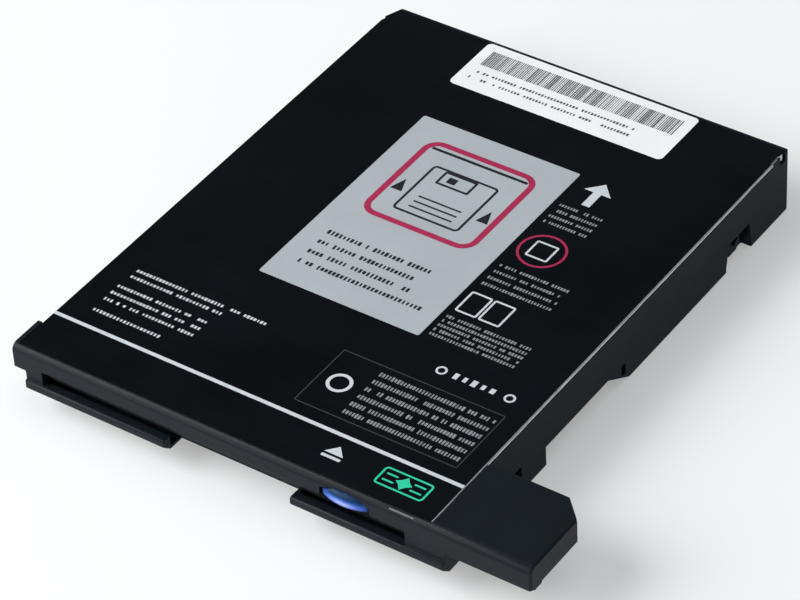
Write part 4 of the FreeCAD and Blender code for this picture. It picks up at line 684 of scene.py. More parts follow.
class Marks:
    """Flat closed marks in one mesh, all between the same two levels."""

    def __init__(self, low, high):
        self.shape = bmesh.new()
        self.low = low
        self.high = high

    def slab(self, points):
        """A filled mark on an outline."""
        loft(self.shape, [[(x, y, level) for x, y in points] for level in (self.low, self.high)])

    def outline(self, left, right, front, back, radius, line):
        """A line round a rectangle; a circle where the radius is half its width."""
        inner_radius = max(radius - line, 0.01 * MM)
        outer = loop(left, right, front, back, radius)
        inner = loop(left + line, right - line, front + line, back - line, inner_radius)
        rings = []
        low, high = self.low, self.high
        for points, level in ((outer, low), (outer, high), (inner, high), (inner, low)):
            rings.append([self.shape.verts.new((x, y, level)) for x, y in points])
        for first, second in zip(rings, rings[1:] + rings[:1]):
            join(self.shape, first, second)

    def frame(self, x, y, half, radius, line):
        """A line round a square with its middle at a place."""
        self.outline(x - half, x + half, y - half, y + half, radius, line)

    def ring(self, x, y, radius, line):
        """A circle."""
        self.frame(x, y, radius, radius, line)

    def bar(self, left, right, front, back, radius=0.02 * MM):
        """A filled rectangle."""
        self.slab(loop(left, right, front, back, radius, 2))

    def triangle(self, x, foot, half, high):
        """A filled triangle that points back, `half` wide to each side of `x`."""
        self.slab([(x - half, foot), (x + half, foot), (x, foot + high)])

    def finished(self, name, finish_name):
        """The marks as a piece that rides on the housing."""
        return settle(closed_piece(self.shape, name, finish_name), "housing", "cover_paint")


# Geometry Nodes

class Recipe(Nodes):
    """A Geometry Nodes tree in the making, with named inputs for its sizes."""

    def __init__(self, name):
        super().__init__(bpy.data.node_groups.new(name, "GeometryNodeTree"))
        self.tree.interface.new_socket("Geometry", in_out="OUTPUT", socket_type="NodeSocketGeometry")
        self.given = self.tree.nodes.new("NodeGroupInput")
        self.result = self.tree.nodes.new("NodeGroupOutput")

    def inputs(self, kind, *names):
        """Named inputs of the tree, all of one kind."""
        for name in names:
            self.tree.interface.new_socket(name, in_out="INPUT", socket_type="NodeSocket" + kind)
        return [self.given.outputs[name] for name in names]

    def add(self, kind, inputs=(), **settings):
        """The first output of a new geometry node."""
        return self.node("GeometryNode" + kind, inputs, **settings).outputs[0]

    def halfway(self, start, size):
        """The middle of what begins at `start` and is `size` long."""
        return self.maths("ADD", start, self.maths("MULTIPLY", size, 0.5))

    def vector(self, x, y, z):
        """Three numbers as a vector."""
        return self.node("ShaderNodeCombineXYZ", {0: x, 1: y, 2: z}).outputs[0]

    def random(self, low, high, seed):
        """A random number for each point or copy."""
        inputs = {2: low, 3: high, 8: seed}
        return self.node("FunctionNodeRandomValue", inputs, data_type="FLOAT").outputs[1]

    def grid(self, wide, long_, columns, rows, middle):
        """Points on a grid."""
        inputs = {"Size X": wide, "Size Y": long_, "Vertices X": columns, "Vertices Y": rows}
        placed = self.add("Transform", {"Geometry": self.add("MeshGrid", inputs), "Translation": middle})
        return self.add("MeshToPoints", {"Mesh": placed})

    def close(self, geometry):
        """Ends the tree: copies made real, then the finish set."""
        chosen = self.inputs("Material", "Finish")[0]
        real = self.add("RealizeInstances", {0: geometry})
        self.tree.links.new(self.add("SetMaterial", {0: real, "Material": chosen}), self.result.inputs[0])
        return self.tree


def recipe(build):
    """A tree that is built the first time that it is asked for, and found again after that."""
    def tree():
        found = bpy.data.node_groups.get(build.__name__)
        return build(Recipe(build.__name__)) if found is None else found
    return tree


def grow(name, tree, finish_name, **values):
    """Runs a tree with its inputs and leaves a plain mesh piece. An input's name has _ for each space."""
    piece = new_piece(name, bpy.data.meshes.new(name))
    modifier = piece.modifiers.new("Recipe", "NODES")
    modifier.node_group = tree
    values["Finish"] = finish(finish_name)
    for socket in tree.interface.items_tree:
        if socket.in_out == "INPUT":
            modifier[socket.identifier] = values[socket.name.replace(" ", "_")]
    bpy.context.view_layer.update()
    return plain(piece)


@recipe
def print_rows(made):
    """Rows of short plain dashes, as small print looks from a step away."""
    wide, long_, left, front = made.inputs("Float", "Width", "Length", "Left", "Front")
    dash_high, thick, level, ragged = made.inputs("Float", "Dash height", "Thickness", "Level", "Ragged")
    rows, cells, seed = made.inputs("Int", "Rows", "Cells", "Seed")
    least_fill, most_fill, least_tall = 0.45, 0.80, 0.7
    middle = made.vector(
        made.halfway(left, wide), made.halfway(front, long_), made.halfway(level, thick)
    )
    points = made.grid(wide, long_, cells, rows, middle)
    gaps = made.maths("LESS_THAN", made.random(0.0, 1.0, seed), ragged)
    words = made.add("DeleteGeometry", {"Geometry": points, "Selection": gaps})
    fill = made.random(least_fill, most_fill, made.maths("ADD", seed, 7))
    tall = made.random(least_tall, 1.0, made.maths("ADD", seed, 13))
    dash = made.add("MeshCube", {"Size": made.vector(made.maths("DIVIDE", wide, cells), dash_high, thick)})
    size = made.vector(fill, tall, 1.0)
    return made.close(made.add("InstanceOnPoints", {"Points": words, "Instance": dash, "Scale": size}))


@recipe
def code_bars(made):
    """A row of upright bars of mixed widths that stands for nothing."""
    wide, tall, left, front = made.inputs("Float", "Width", "Height", "Left", "Front")
    thick, level = made.inputs("Float", "Thickness", "Level")
    count, seed = made.inputs("Int", "Bars", "Seed")
    least_fill, most_fill = 0.28, 0.86
    across, height = made.halfway(front, tall), made.halfway(level, thick)
    ends = {
        "Count": count, "Start Location": made.vector(left, across, height),
        "Offset": made.vector(made.maths("ADD", left, wide), across, height),
    }
    line = made.add("MeshLine", ends, mode="END_POINTS", count_mode="TOTAL")
    points = made.add("MeshToPoints", {"Mesh": line})
    bar = made.add("MeshCube", {"Size": made.vector(made.maths("DIVIDE", wide, count), tall, thick)})
    size = made.vector(made.random(least_fill, most_fill, seed), 1.0, 1.0)
    return made.close(made.add("InstanceOnPoints", {"Points": points, "Instance": bar, "Scale": size}))


@recipe
def cross_screws(made):
    """Screws with cross recesses on a grid, seen from below."""
    x, y, level, wide, long_ = made.inputs("Float", "Middle X", "Middle Y", "Level", "Width", "Length")
    radius, thick, cross = made.inputs("Float", "Radius", "Thickness", "Cross")
    columns, rows, seed = made.inputs("Int", "Columns", "Rows", "Seed")
    taper, arm_share, sunk_share = 0.12, 0.28, 0.45
    disc = made.add(
        "MeshCylinder", {"Vertices": 32, "Side Segments": 2, "Radius": radius, "Depth": thick}
    )
    place = made.add("InputPosition")
    height = made.node("ShaderNodeSeparateXYZ", {0: place}).outputs["Z"]
    rim = made.maths("LESS_THAN", height, made.maths("MULTIPLY", thick, -0.25))
    inward = made.node("ShaderNodeVectorMath", {0: place, 1: (-taper, -taper, 0.0)}, operation="MULTIPLY")
    head = made.add(
        "SetPosition", {"Geometry": disc, "Selection": rim, "Offset": inward.outputs[0]}
    )
    slim = made.maths("MULTIPLY", cross, arm_share)
    down = made.vector(0.0, 0.0, made.maths("MULTIPLY", thick, -sunk_share))
    cut = made.node("GeometryNodeMeshBoolean", {"Mesh 1": head}, operation="DIFFERENCE", solver="EXACT")
    for size in ((cross, slim), (slim, cross)):
        box = made.add("MeshCube", {"Size": made.vector(*size, thick)})
        arm = made.add("Transform", {"Geometry": box, "Translation": down})
        made.tree.links.new(arm, cut.inputs["Mesh 2"])
    points = made.grid(wide, long_, columns, rows, made.vector(x, y, made.halfway(level, thick)))
    turn = made.vector(0.0, 0.0, made.random(0.0, math.pi / 2, seed))
    copies = {"Points": points, "Instance": cut.outputs[0], "Rotation": turn}
    return made.close(made.add("InstanceOnPoints", copies))


@recipe
def close_coil(made):
    """A close-wound coil spring along Y."""
    x, front, z, long_ = made.inputs("Float", "Middle X", "Front", "Middle Z", "Length")
    radius, wire, turns = made.inputs("Float", "Radius", "Wire", "Turns")
    winding = {
        "Resolution": 14, "Rotations": turns, "Start Radius": radius, "End Radius": radius, "Height": long_
    }
    laid = {"Geometry": made.add("CurveSpiral", winding), "Rotation": (-math.pi / 2, 0, 0)}
    placed = {"Geometry": made.add("Transform", laid), "Translation": made.vector(x, front, z)}
    section = made.add("CurvePrimitiveCircle", {"Resolution": 7, "Radius": wire})
    swept = {"Curve": made.add("Transform", placed), "Profile Curve": section, "Fill Caps": True}
    return made.close(made.add("SetShadeSmooth", {0: made.add("CurveToMesh", swept)}))


# Screws

class ScrewGroup:
    """Like screws on a grid, sunk in round seats in a face that looks down.

    `face` is that face's level. The other sizes are given in millimetres, and `sunk` is how far above that
    face the heads' own faces lie."""

    head_thick = 0.5 * MM
    cross_share = 1.05
    cutter_below = 0.2 * MM

    def __init__(self, middle, apart, counts, face, sunk, head_radius, seat_radius, seat_depth):
        self.x, self.y = (along * MM for along in middle)
        self.wide, self.long = (along * MM for along in apart)
        self.columns, self.rows = counts
        self.face = face
        self.level = face + sunk * MM
        self.head_radius = head_radius * MM
        self.seat_radius = seat_radius * MM
        self.seat_top = face + seat_depth * MM

    def places(self):
        """Where the screws are."""
        for column in range(self.columns):
            for row in range(self.rows):
                across = (column - (self.columns - 1) / 2) * self.wide
                along = (row - (self.rows - 1) / 2) * self.long
                yield self.x + across, self.y + along

    def seats(self, name):
        """A cutter of upright round pegs that sinks the seats."""
        low = self.face - self.cutter_below
        shape = bmesh.new()
        for x, y in self.places():
            bmesh.ops.create_cone(
                shape, cap_ends=True, segments=32, radius1=self.seat_radius, radius2=self.seat_radius,
                depth=self.seat_top - low, matrix=Matrix.Translation((x, y, (low + self.seat_top) / 2)),
            )
        return new_piece(name, mesh_of(shape, name))

    def screws(self, name):
        """The screws themselves."""
        return grow(
            name, cross_screws(), "screw_black", Width=self.wide, Length=self.long, Columns=self.columns,
            Rows=self.rows, Middle_X=self.x, Middle_Y=self.y, Level=self.level, Radius=self.head_radius,
            Thickness=self.head_thick, Cross=self.cross_share * self.head_radius, Seed=4,
        )


CASE_SCREWS = ScrewGroup(
    middle=(-11.3, -2.05), apart=(80.0, 85.9), counts=(2, 2), face=0.0, sunk=0.14, head_radius=1.8,
    seat_radius=2.1, seat_depth=0.62,
)
BLOCK_SCREWS = ScrewGroup(
    middle=(53.05, -59.3), apart=(9.1, 0.0), counts=(2, 1), face=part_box("block_cover")[0].z, sunk=0.1,
    head_radius=1.25, seat_radius=1.5, seat_depth=0.5,
)


# The front moulding and the button

def on_rim(line):
    """Whether an edge is on the rim beside the lid, where its facets are narrower than a rounded edge."""
    for end in line.verts:
        beside_lid = abs(end.co.y - RIM_Y) < RIM_Y_ROOM
        beside_block = abs(end.co.x - RIM_X) < RIM_X_ROOM and end.co.y < RIM_BACK
        if end.co.z < RIM_LOW or not (beside_lid or beside_block):
            return False
    return True


def lip_wall(edge):
    """The end wall that closes the channel behind the right lower lip."""
    shape = bmesh.new()
    loft(shape, [[(x, y * MM, z * MM) for y, z in LIP_WALL_SECTION] for x in LIP_WALL_ENDS])
    return soften(closed_piece(shape, "lip_wall", "front_grey"), edge)


def arch_height(x):
    """The upper edge of the button's opening: an arch that drops towards its ends."""
    reach = min(abs(x - ARCH_MIDDLE) / ARCH_HALF, 1.0)
    return ARCH_TOP - ARCH_DROP * reach ** ARCH_STEEPNESS


def front_face(z):
    """How far forward the front moulding's face lies at a height, over its rounded top edge."""
    above = max(z - ROLL_Z, 0.0)
    return ROLL_Y - math.sqrt(ROLL ** 2 - above ** 2)


def button_arch(columns=32, rows=8):
    """The two corners that turn the button's opening into an arch, joined by a thin strip over it.

    Its face lies a hair in front of the moulding's face, and its ends run into the moulding."""
    sections = []
    for column in range(columns + 1):
        x = ARCH_MIDDLE + (2 * column / columns - 1) * (ARCH_HALF + ARCH_OVERLAP)
        low = arch_height(x)
        levels = [low + (ARCH_HIGH - low) * row / rows for row in range(rows + 1)]
        section = [(x, front_face(z) - ARCH_PROUD, z) for z in levels]
        sections.append(section + [(x, ARCH_BACK, ARCH_HIGH), (x, ARCH_BACK, low)])
    shape = bmesh.new()
    loft(shape, sections)
    piece = closed_piece(shape, "button_arch", "front_grey")
    shade(piece.data)
    return piece


def arch_lens(shape):
    """Lowers the top of the button's lens to follow the arch of its opening."""
    columns, weld = 18, 0.03 * MM
    for column in range(1, columns):
        x = BUTTON_LOW.x + (BUTTON_HIGH.x - BUTTON_LOW.x) * column / columns
        bmesh.ops.bisect_plane(
            shape, geom=shape.verts[:] + shape.edges[:] + shape.faces[:], plane_co=(x, 0, 0),
            plane_no=(1, 0, 0),
        )
    bmesh.ops.remove_doubles(shape, verts=shape.verts, dist=weld)
    middle = (BUTTON_LOW.z + BUTTON_HIGH.z) / 2
    for vert in shape.verts:
        if vert.co.y < LENS_BACK and vert.co.z > middle:
            room = arch_height(vert.co.x) - LENS_CLEARANCE - middle
            vert.co.z = middle + (vert.co.z - middle) * room / (BUTTON_HIGH.z - middle)


# Signs on the lid

def white_stripe(marks):
    """The stripe across the front of the lid."""
    ink = bpy.context.scene.drive_print
    left_inset, right_inset = 0.1 * MM, 0.25 * MM
    left, right = LID_LOW.x + left_inset, LID_HIGH.x - right_inset
    marks.bar(left, right, ink.stripe_front, ink.stripe_front + ink.stripe_wide)


def bare_rim(marks):
    """A thin pale strip along the lid's right edge: a painted highlight where the edge catches the light.
    """
    inset, wide, start = 0.13 * MM, 0.2 * MM, 0.3 * MM
    right = LID_HIGH.x - inset
    marks.bar(right - wide, right, LID_LOW.y + start, CLIP_FRONT)


def disk_sign(marks):
    """The sign at the front right: a plain outline with two lines a side and a star in the middle."""
    left, right, front, back = 23.9 * MM, 35.7 * MM, -65.2 * MM, -59.8 * MM
    line, gap, near, far = 0.46 * MM, 0.95 * MM, 2.0 * MM, 4.7 * MM
    tip, waist = 2.0 * MM, 0.85 * math.sqrt(2) * MM
    middle_x, middle_y = (left + right) / 2, (front + back) / 2
    marks.outline(left, right, front, back, 0.9 * MM, line)
    star = []
    for quarter in range(4):
        for reach, turn in ((tip, 0.0), (waist, 0.5)):
            angle = (quarter + turn) * math.pi / 2
            star.append((middle_x + reach * math.cos(angle), middle_y + reach * math.sin(angle)))
    marks.slab(star)
    for side in (-1, 1):
        for row in (-1, 1):
            ends = sorted((middle_x + side * near, middle_x + side * far))
            centre = middle_y + row * gap
            marks.bar(*ends, centre - line / 2, centre + line / 2)


def eject_sign(marks):
    """A triangle over a bar."""
    x, y, half = 12.7 * MM, -62.0 * MM, 2.3 * MM
    marks.triangle(x, y - 0.7 * MM, half, 2.6 * MM)
    marks.bar(x - half, x + half, y - 2.1 * MM, y - 1.35 * MM)


def arrow_sign(marks):
    """An arrow that points to the back."""
    x, foot, tip = 13.4 * MM, 31.0 * MM, 39.6 * MM
    shaft, barb = 1.0 * MM, 3.4 * MM
    neck = tip - 3.6 * MM
    marks.slab([
        (x - shaft, foot), (x + shaft, foot), (x + shaft, neck), (x + barb, neck), (x, tip),
        (x - barb, neck), (x - shaft, neck),
    ])


def white_signs(marks):
    """The plain white signs: the eject sign, the arrow, a square, two panels and three rings."""
    eject_sign(marks)
    arrow_sign(marks)
    line = 0.5 * MM
    marks.frame(13.8 * MM, 13.2 * MM, 2.8 * MM, 0.5 * MM, line)
    for left in (8.4 * MM, 14.2 * MM):
        marks.outline(left, left + 5.4 * MM, -12.6 * MM, -5.4 * MM, 0.6 * MM, line)
    for x in (17.0 * MM, 33.8 * MM):
        marks.ring(x, -30.0 * MM, 1.3 * MM, line)
    marks.ring(1.2 * MM, -44.2 * MM, 2.9 * MM, 0.8 * MM)


def magenta_sign(marks):
    """The thin ring round the square."""
    marks.ring(13.8 * MM, 13.2 * MM, 5.6 * MM, 0.6 * MM)


def print_frame(marks):
    """The thin frame round the boxed print."""
    marks.outline(-4.0 * MM, 36.2 * MM, -53.2 * MM, -35.0 * MM, 0.3 * MM, 0.22 * MM)


# The strip along the lid's right rim, in faded ink, is a painted highlight.
SIGNS = (
    (white_stripe, "ink_white"), (bare_rim, "ink_faded"), (disk_sign, "ink_teal"),
    (white_signs, "ink_white"), (magenta_sign, "ink_magenta"), (print_frame, "ink_line"),
)


def guide_sign(marks, middle, front):
    """A plain line drawing of a disk before its slot, on the grey label."""
    x, y, half = middle, front + 41.0 * MM, 8.6 * MM
    line = 0.62 * MM
    marks.frame(x, y, half, 1.2 * MM, line)
    marks.outline(x - 5.2 * MM, x + 3.4 * MM, y + 3.2 * MM, y + half - line, 0.4 * MM, line)
    marks.bar(x - 3.2 * MM, x - 1.0 * MM, y + 4.6 * MM, y + half - 2.0 * MM)
    for step in range(3):
        level = y - half + (2.2 + 1.9 * step) * MM
        marks.bar(x - 5.6 * MM, x + 5.6 * MM, level, level + 0.5 * MM)
    slot = y + half + 4.4 * MM
    marks.bar(x - 12.5 * MM, x + 12.5 * MM, slot, slot + 0.8 * MM)
    for side in (-1, 1):
        marks.triangle(x + side * (half + 2.6 * MM), y - 3.0 * MM, 1.5 * MM, 4.2 * MM)


def guide_ring(marks, middle, front):
    """The frame with rounded corners round the line drawing."""
    marks.frame(middle, front + 42.6 * MM, 14.6 * MM, 4.0 * MM, 1.5 * MM)


# Each block of small print: its name, ink, left, right, front and back in millimetres, its rows, the
# dashes in a row, the dash's height, the share left out, and the seed
PRINT_BLOCKS = (
    ("print_left_one", "ink_white", -56.5, -23.0, -37.0, -37.0, 1, 40, 0.95, 0.12, 3),
    ("print_left_two", "ink_white", -56.5, -33.0, -39.2, -39.2, 1, 28, 0.95, 0.14, 5),
    ("print_left_three", "ink_white", -57.0, -34.0, -47.9, -43.1, 3, 28, 0.95, 0.14, 8),
    ("print_left_four", "ink_white", -56.8, -39.8, -51.9, -51.9, 1, 20, 0.95, 0.12, 11),
    ("print_mark", "ink_white", 20.6, 29.6, -30.0, -30.0, 1, 5, 2.0, 0.0, 61),
    ("print_box", "ink_faded", 7.0, 35.0, -50.8, -37.6, 6, 38, 1.35, 0.10, 15),
    ("print_column_one", "ink_faded", 8.6, 19.0, 22.2, 28.6, 4, 16, 0.95, 0.12, 21),
    ("print_column_two", "ink_faded", 8.8, 25.6, -2.1, 4.8, 4, 24, 0.95, 0.12, 25),
    ("print_column_three", "ink_faded", 8.4, 29.0, -21.4, -15.0, 5, 29, 0.95, 0.10, 29),
)


def small_print(name, finish_name, level, left, right, front, back, rows, cells, dash, ragged, seed):
    """A block of small print whose foot lies at `level`. Its other sizes are in millimetres."""
    piece = grow(
        name, print_rows(), finish_name, Width=(right - left) * MM, Length=(back - front) * MM, Rows=rows,
        Cells=cells, Dash_height=dash * MM, Thickness=bpy.context.scene.drive_print.ink, Level=level,
        Left=left * MM, Front=front * MM, Seed=seed, Ragged=ragged,
    )
    settle(piece, "housing", "cover_paint")


def lid_face():
    """The level of the lid's face, which lies a little under the solid's."""
    return LID_HIGH.z - bpy.context.scene.drive_shell.print_room


# Operators

class DRIVE_OT_shells(bpy.types.Operator):
    """Make the tray, side catch, front moulding with its arch and lip wall, and the block's plate"""
    bl_idname = "drive.shells"
    bl_label = "Shells"

    def execute(self, context):
        edge = context.scene.drive_shell.edge
        seats = CASE_SCREWS.seats("screw_seats")
        dress("bottom_case", "tray_shell", "housing", "case_plastic", edge, "case_black", cutter=seats)
        dress("side_catch", "catch_shell", "housing", "case_plastic", edge, "case_black")
        dress("front_bezel", "front_shell", "housing", "front_plastic", edge, "front_grey", keep=on_rim)
        settle(button_arch(), "housing", "front_plastic")
        settle(lip_wall(0.7 * edge), "housing", "front_plastic")
        seats = BLOCK_SCREWS.seats("plate_seats")
        dress("block_cover", "block_plate", "housing", "front_plastic", edge, "front_grey", cutter=seats)
        return {"FINISHED"}


class DRIVE_OT_lid(bpy.types.Operator):
    """Make the painted lid with its bare sheared edge at the right"""
    bl_idname = "drive.lid"
    bl_label = "Lid"

    def execute(self, context):
        shell = context.scene.drive_shell

        def lower_face(shape):
            for vert in shape.verts:
                if vert.co.z > LID_HIGH.z - WELD:
                    vert.co.z -= shell.print_room

        lid = dress(
            "top_cover", "lid_shell", "housing", "cover_paint", shell.sheet_edge, "lid_paint", "lid_edge",
            change=lower_face,
        )
        for face in lid.data.polygons:
            on_clip = face.center.y > CLIP_FRONT and face.center.z > CLIP_LOW
            at_edge = face.center.x > LID_HIGH.x - SHEARED_REACH and face.normal.x > SHEARED_TURN
            if at_edge and not on_clip:
                face.material_index = 1
        return {"FINISHED"}


class DRIVE_OT_button(bpy.types.Operator):
    """Make the eject button and the two pieces of the light"""
    bl_idname = "drive.button"
    bl_label = "Button and light"

    def execute(self, context):
        edge = context.scene.drive_shell.edge
        dress(
            "eject_button", "button_lens", "eject_unit", "blue_button", 1.2 * edge, "button_blue",
            change=arch_lens, segments=3,
        )
        dress("light_pipe", "light_window", "housing", "pale_light", 0.4 * edge, "pale_light")
        dress("activity_light", "lamp_body", "housing", "lamp_green", 0.6 * edge, "lamp_green")
        return {"FINISHED"}


class DRIVE_OT_flap(bpy.types.Operator):
    """Make the dust flap behind the slot"""
    bl_idname = "drive.flap"
    bl_label = "Dust flap"

    def execute(self, context):
        edge = context.scene.drive_shell.edge
        dress("dust_flap", "flap_panel", "flap", "dark_flap", 0.5 * edge, "flap_black")
        return {"FINISHED"}


class DRIVE_OT_plug(bpy.types.Operator):
    """Make the flat connector at the back"""
    bl_idname = "drive.plug"
    bl_label = "Bay connector"

    def execute(self, context):
        edge = context.scene.drive_shell.edge
        dress("rear_connector", "plug_shell", "housing", "plug_black", edge, "plug_black")
        return {"FINISHED"}


class DRIVE_OT_print(bpy.types.Operator):
    """Print the stripe, the signs and the small print on the lid, and a painted highlight along its right
    rim
    """
    bl_idname = "drive.print"
    bl_label = "Print"

    def execute(self, context):
        for draw, finish_name in SIGNS:
            marks = Marks(lid_face(), lid_face() + context.scene.drive_print.ink)
            draw(marks)
            marks.finished(draw.__name__, finish_name)
        for name, finish_name, *sizes in PRINT_BLOCKS:
            small_print(name, finish_name, lid_face(), *sizes)
        return {"FINISHED"}


class DRIVE_OT_labels(bpy.types.Operator):
    """Stick the grey label and the white label to the lid"""
    bl_idname = "drive.labels"
    bl_label = "Labels"

    def execute(self, context):
        ink = context.scene.drive_print
        face = lid_face() + ink.label
        grey_right, grey_back = ink.grey_left + ink.grey_wide, ink.grey_front + ink.grey_long
        code_right, code_back = ink.code_left + ink.code_wide, ink.code_front + ink.code_long
        grey = (ink.grey_left, grey_right, ink.grey_front, grey_back)
        code = (ink.code_left, code_right, ink.code_front, code_back)
        for name, finish_name, edges, radius in (
            ("grey_label", "silver_film", grey, 0.5 * MM), ("code_label", "coated_paper", code, 1.2 * MM),
        ):
            marks = Marks(lid_face(), face)
            marks.slab(loop(*edges, radius))
            marks.finished(name, finish_name)
        for draw, finish_name in ((guide_sign, "ink_black"), (guide_ring, "ink_magenta")):
            marks = Marks(face, face + ink.ink)
            draw(marks, (ink.grey_left + grey_right) / 2, ink.grey_front)
            marks.finished(draw.__name__, finish_name)
        self.guide_rows(grey, face)
        self.code_print(code, face)
        return {"FINISHED"}

    def guide_rows(self, edges, level):
        """The rows of print under the line drawing, each as long as it reaches."""
        inset, first, apart, pitch = 5.5, 18.4, 3.7, 0.95
        dash, ragged, first_seed = 1.45, 0.12, 40
        left = edges[0] / MM + inset
        for row, reach in enumerate((26.0, 24.0, 25.5, 31.0)):
            front = edges[2] / MM + first - apart * row
            small_print(
                f"guide_row_{row + 1}", "ink_black", level, left, left + reach, front, front, 1,
                int(reach / pitch), dash, ragged, first_seed + row,
            )

    def code_print(self, edges, level):
        """The bars of the white label, and the two rows of print before them."""
        left, right, front, _ = edges
        inset, foot, tall = 2.8 * MM, 9.0 * MM, 5.6 * MM
        bars = grow(
            "code_bars", code_bars(), "ink_code", Left=left + inset, Width=right - left - 2 * inset,
            Front=front + foot, Height=tall, Bars=104, Thickness=bpy.context.scene.drive_print.ink,
            Level=level, Seed=5,
        )
        settle(bars, "housing", "cover_paint")
        left_inset, right_inset, rows_foot, rows_apart = 3.0, 11.0, 4.0, 2.4
        left, right, front = left / MM + left_inset, right / MM - right_inset, front / MM + rows_foot
        small_print(
            "code_rows", "ink_code", level, left, right, front, front + rows_apart, 2, 52, 0.9, 0.22, 52
        )


class DRIVE_OT_springs(bpy.types.Operator):
    """Wind the two eject springs"""
    bl_idname = "drive.springs"
    bl_label = "Springs"

    def execute(self, context):
        wire = 0.16 * MM
        for side in ("left", "right"):
            node = f"eject_spring_{side}"
            low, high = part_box(node)
            middle = (low + high) / 2
            coil = grow(
                f"coil_{side}", close_coil(), "pin_steel", Middle_X=middle.x, Front=low.y + wire,
                Middle_Z=middle.z, Length=high.y - low.y - 2 * wire, Radius=(high.x - low.x) / 2 - wire,
                Wire=wire, Turns=36.0,
            )
            settle(coil, "housing", "pin_steel", node)
            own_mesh(coil)
        return {"FINISHED"}


class DRIVE_OT_screws(bpy.types.Operator):
    """Set the sunk screws of the underside and of the bay block's plate"""
    bl_idname = "drive.screws"
    bl_label = "Screws"

    def execute(self, context):
        settle(CASE_SCREWS.screws("case_screws"), "housing", "case_plastic")
        settle(BLOCK_SCREWS.screws("block_screws"), "housing", "front_plastic")
        return {"FINISHED"}


class DRIVE_OT_works(bpy.types.Operator):
    """Give the pieces inside the drive their finishes"""
    bl_idname = "drive.works"
    bl_label = "Works"

    def execute(self, context):
        for finish_name, nodes in WORKS.items():
            for node in nodes:
                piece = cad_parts[node]
                if not piece.material_slots:
                    piece.data.materials.append(None)
                for spot in piece.material_slots:
                    spot.material = finish(finish_name)
        return {"FINISHED"}


WORKS = {
    "sheet_steel": (
        "chassis", "datum_posts", "disk_holder", "eject_slider", "shutter_lever", "drive_lever",
        "screw_bearing", "stepper_bracket",
    ),
    "motor_steel": ("spindle_rotor", "motor_stator"),
    "pin_steel": (
        "holder_pins", "lever_pivot", "lever_spring", "hub_plate", "drive_lever_pin", "spindle_shaft",
        "arm_pin", "arm_spring", "guide_rod", "lead_screw", "stepper_motor",
    ),
    "bronze": ("spindle_bearing",),
    "gold": ("connector_contacts",),
    "copper_wire": ("stator_coils",),
    "magnet": ("rotor_magnet",),
    "board_green": ("motor_board", "switch_board", "main_board"),
    "chip_black": ("switch_bodies", "board_chips", "track_sensor"),
    "head_white": ("lower_head", "upper_head"),
    "frame_white": (
        "head_carriage", "upper_arm", "rod_clamps", "write_protect_plunger", "density_plunger",
        "disk_plunger",
    ),
    "amber_film": ("motor_cable",),
}


# The floor: half its width, its level, the part left open under the drive (its left, right, front and back
# edges), and the distances from the drive over which its lift grows
FLOOR_HALF = 6.0
FLOOR_LEVEL = -0.15 * MM
FLOOR_OPENING = (-61.0 * MM, 36.0 * MM, -59.0 * MM, 67.0 * MM)
FLOOR_NEAR = 0.5
FLOOR_FAR = 3.5

# The lamps: each one's name, its power's setting, its width and its place
LAMPS = (
    ("key_lamp", "key", 1.1, (-0.90, -0.80, 0.90)),
    ("fill_lamp", "fill", 1.2, (0.25, 0.10, 1.40)),
)

# The sky: its colours at two heights, each height the sine of an angle over the horizon, and the white
# that the camera sees
SKY_STOPS = ((0.04, (0.80, 0.81, 0.82, 1.0)), (0.34, (0.13, 0.14, 0.15, 1.0)))
SKY_SEEN = (0.93, 0.93, 0.93, 1.0)


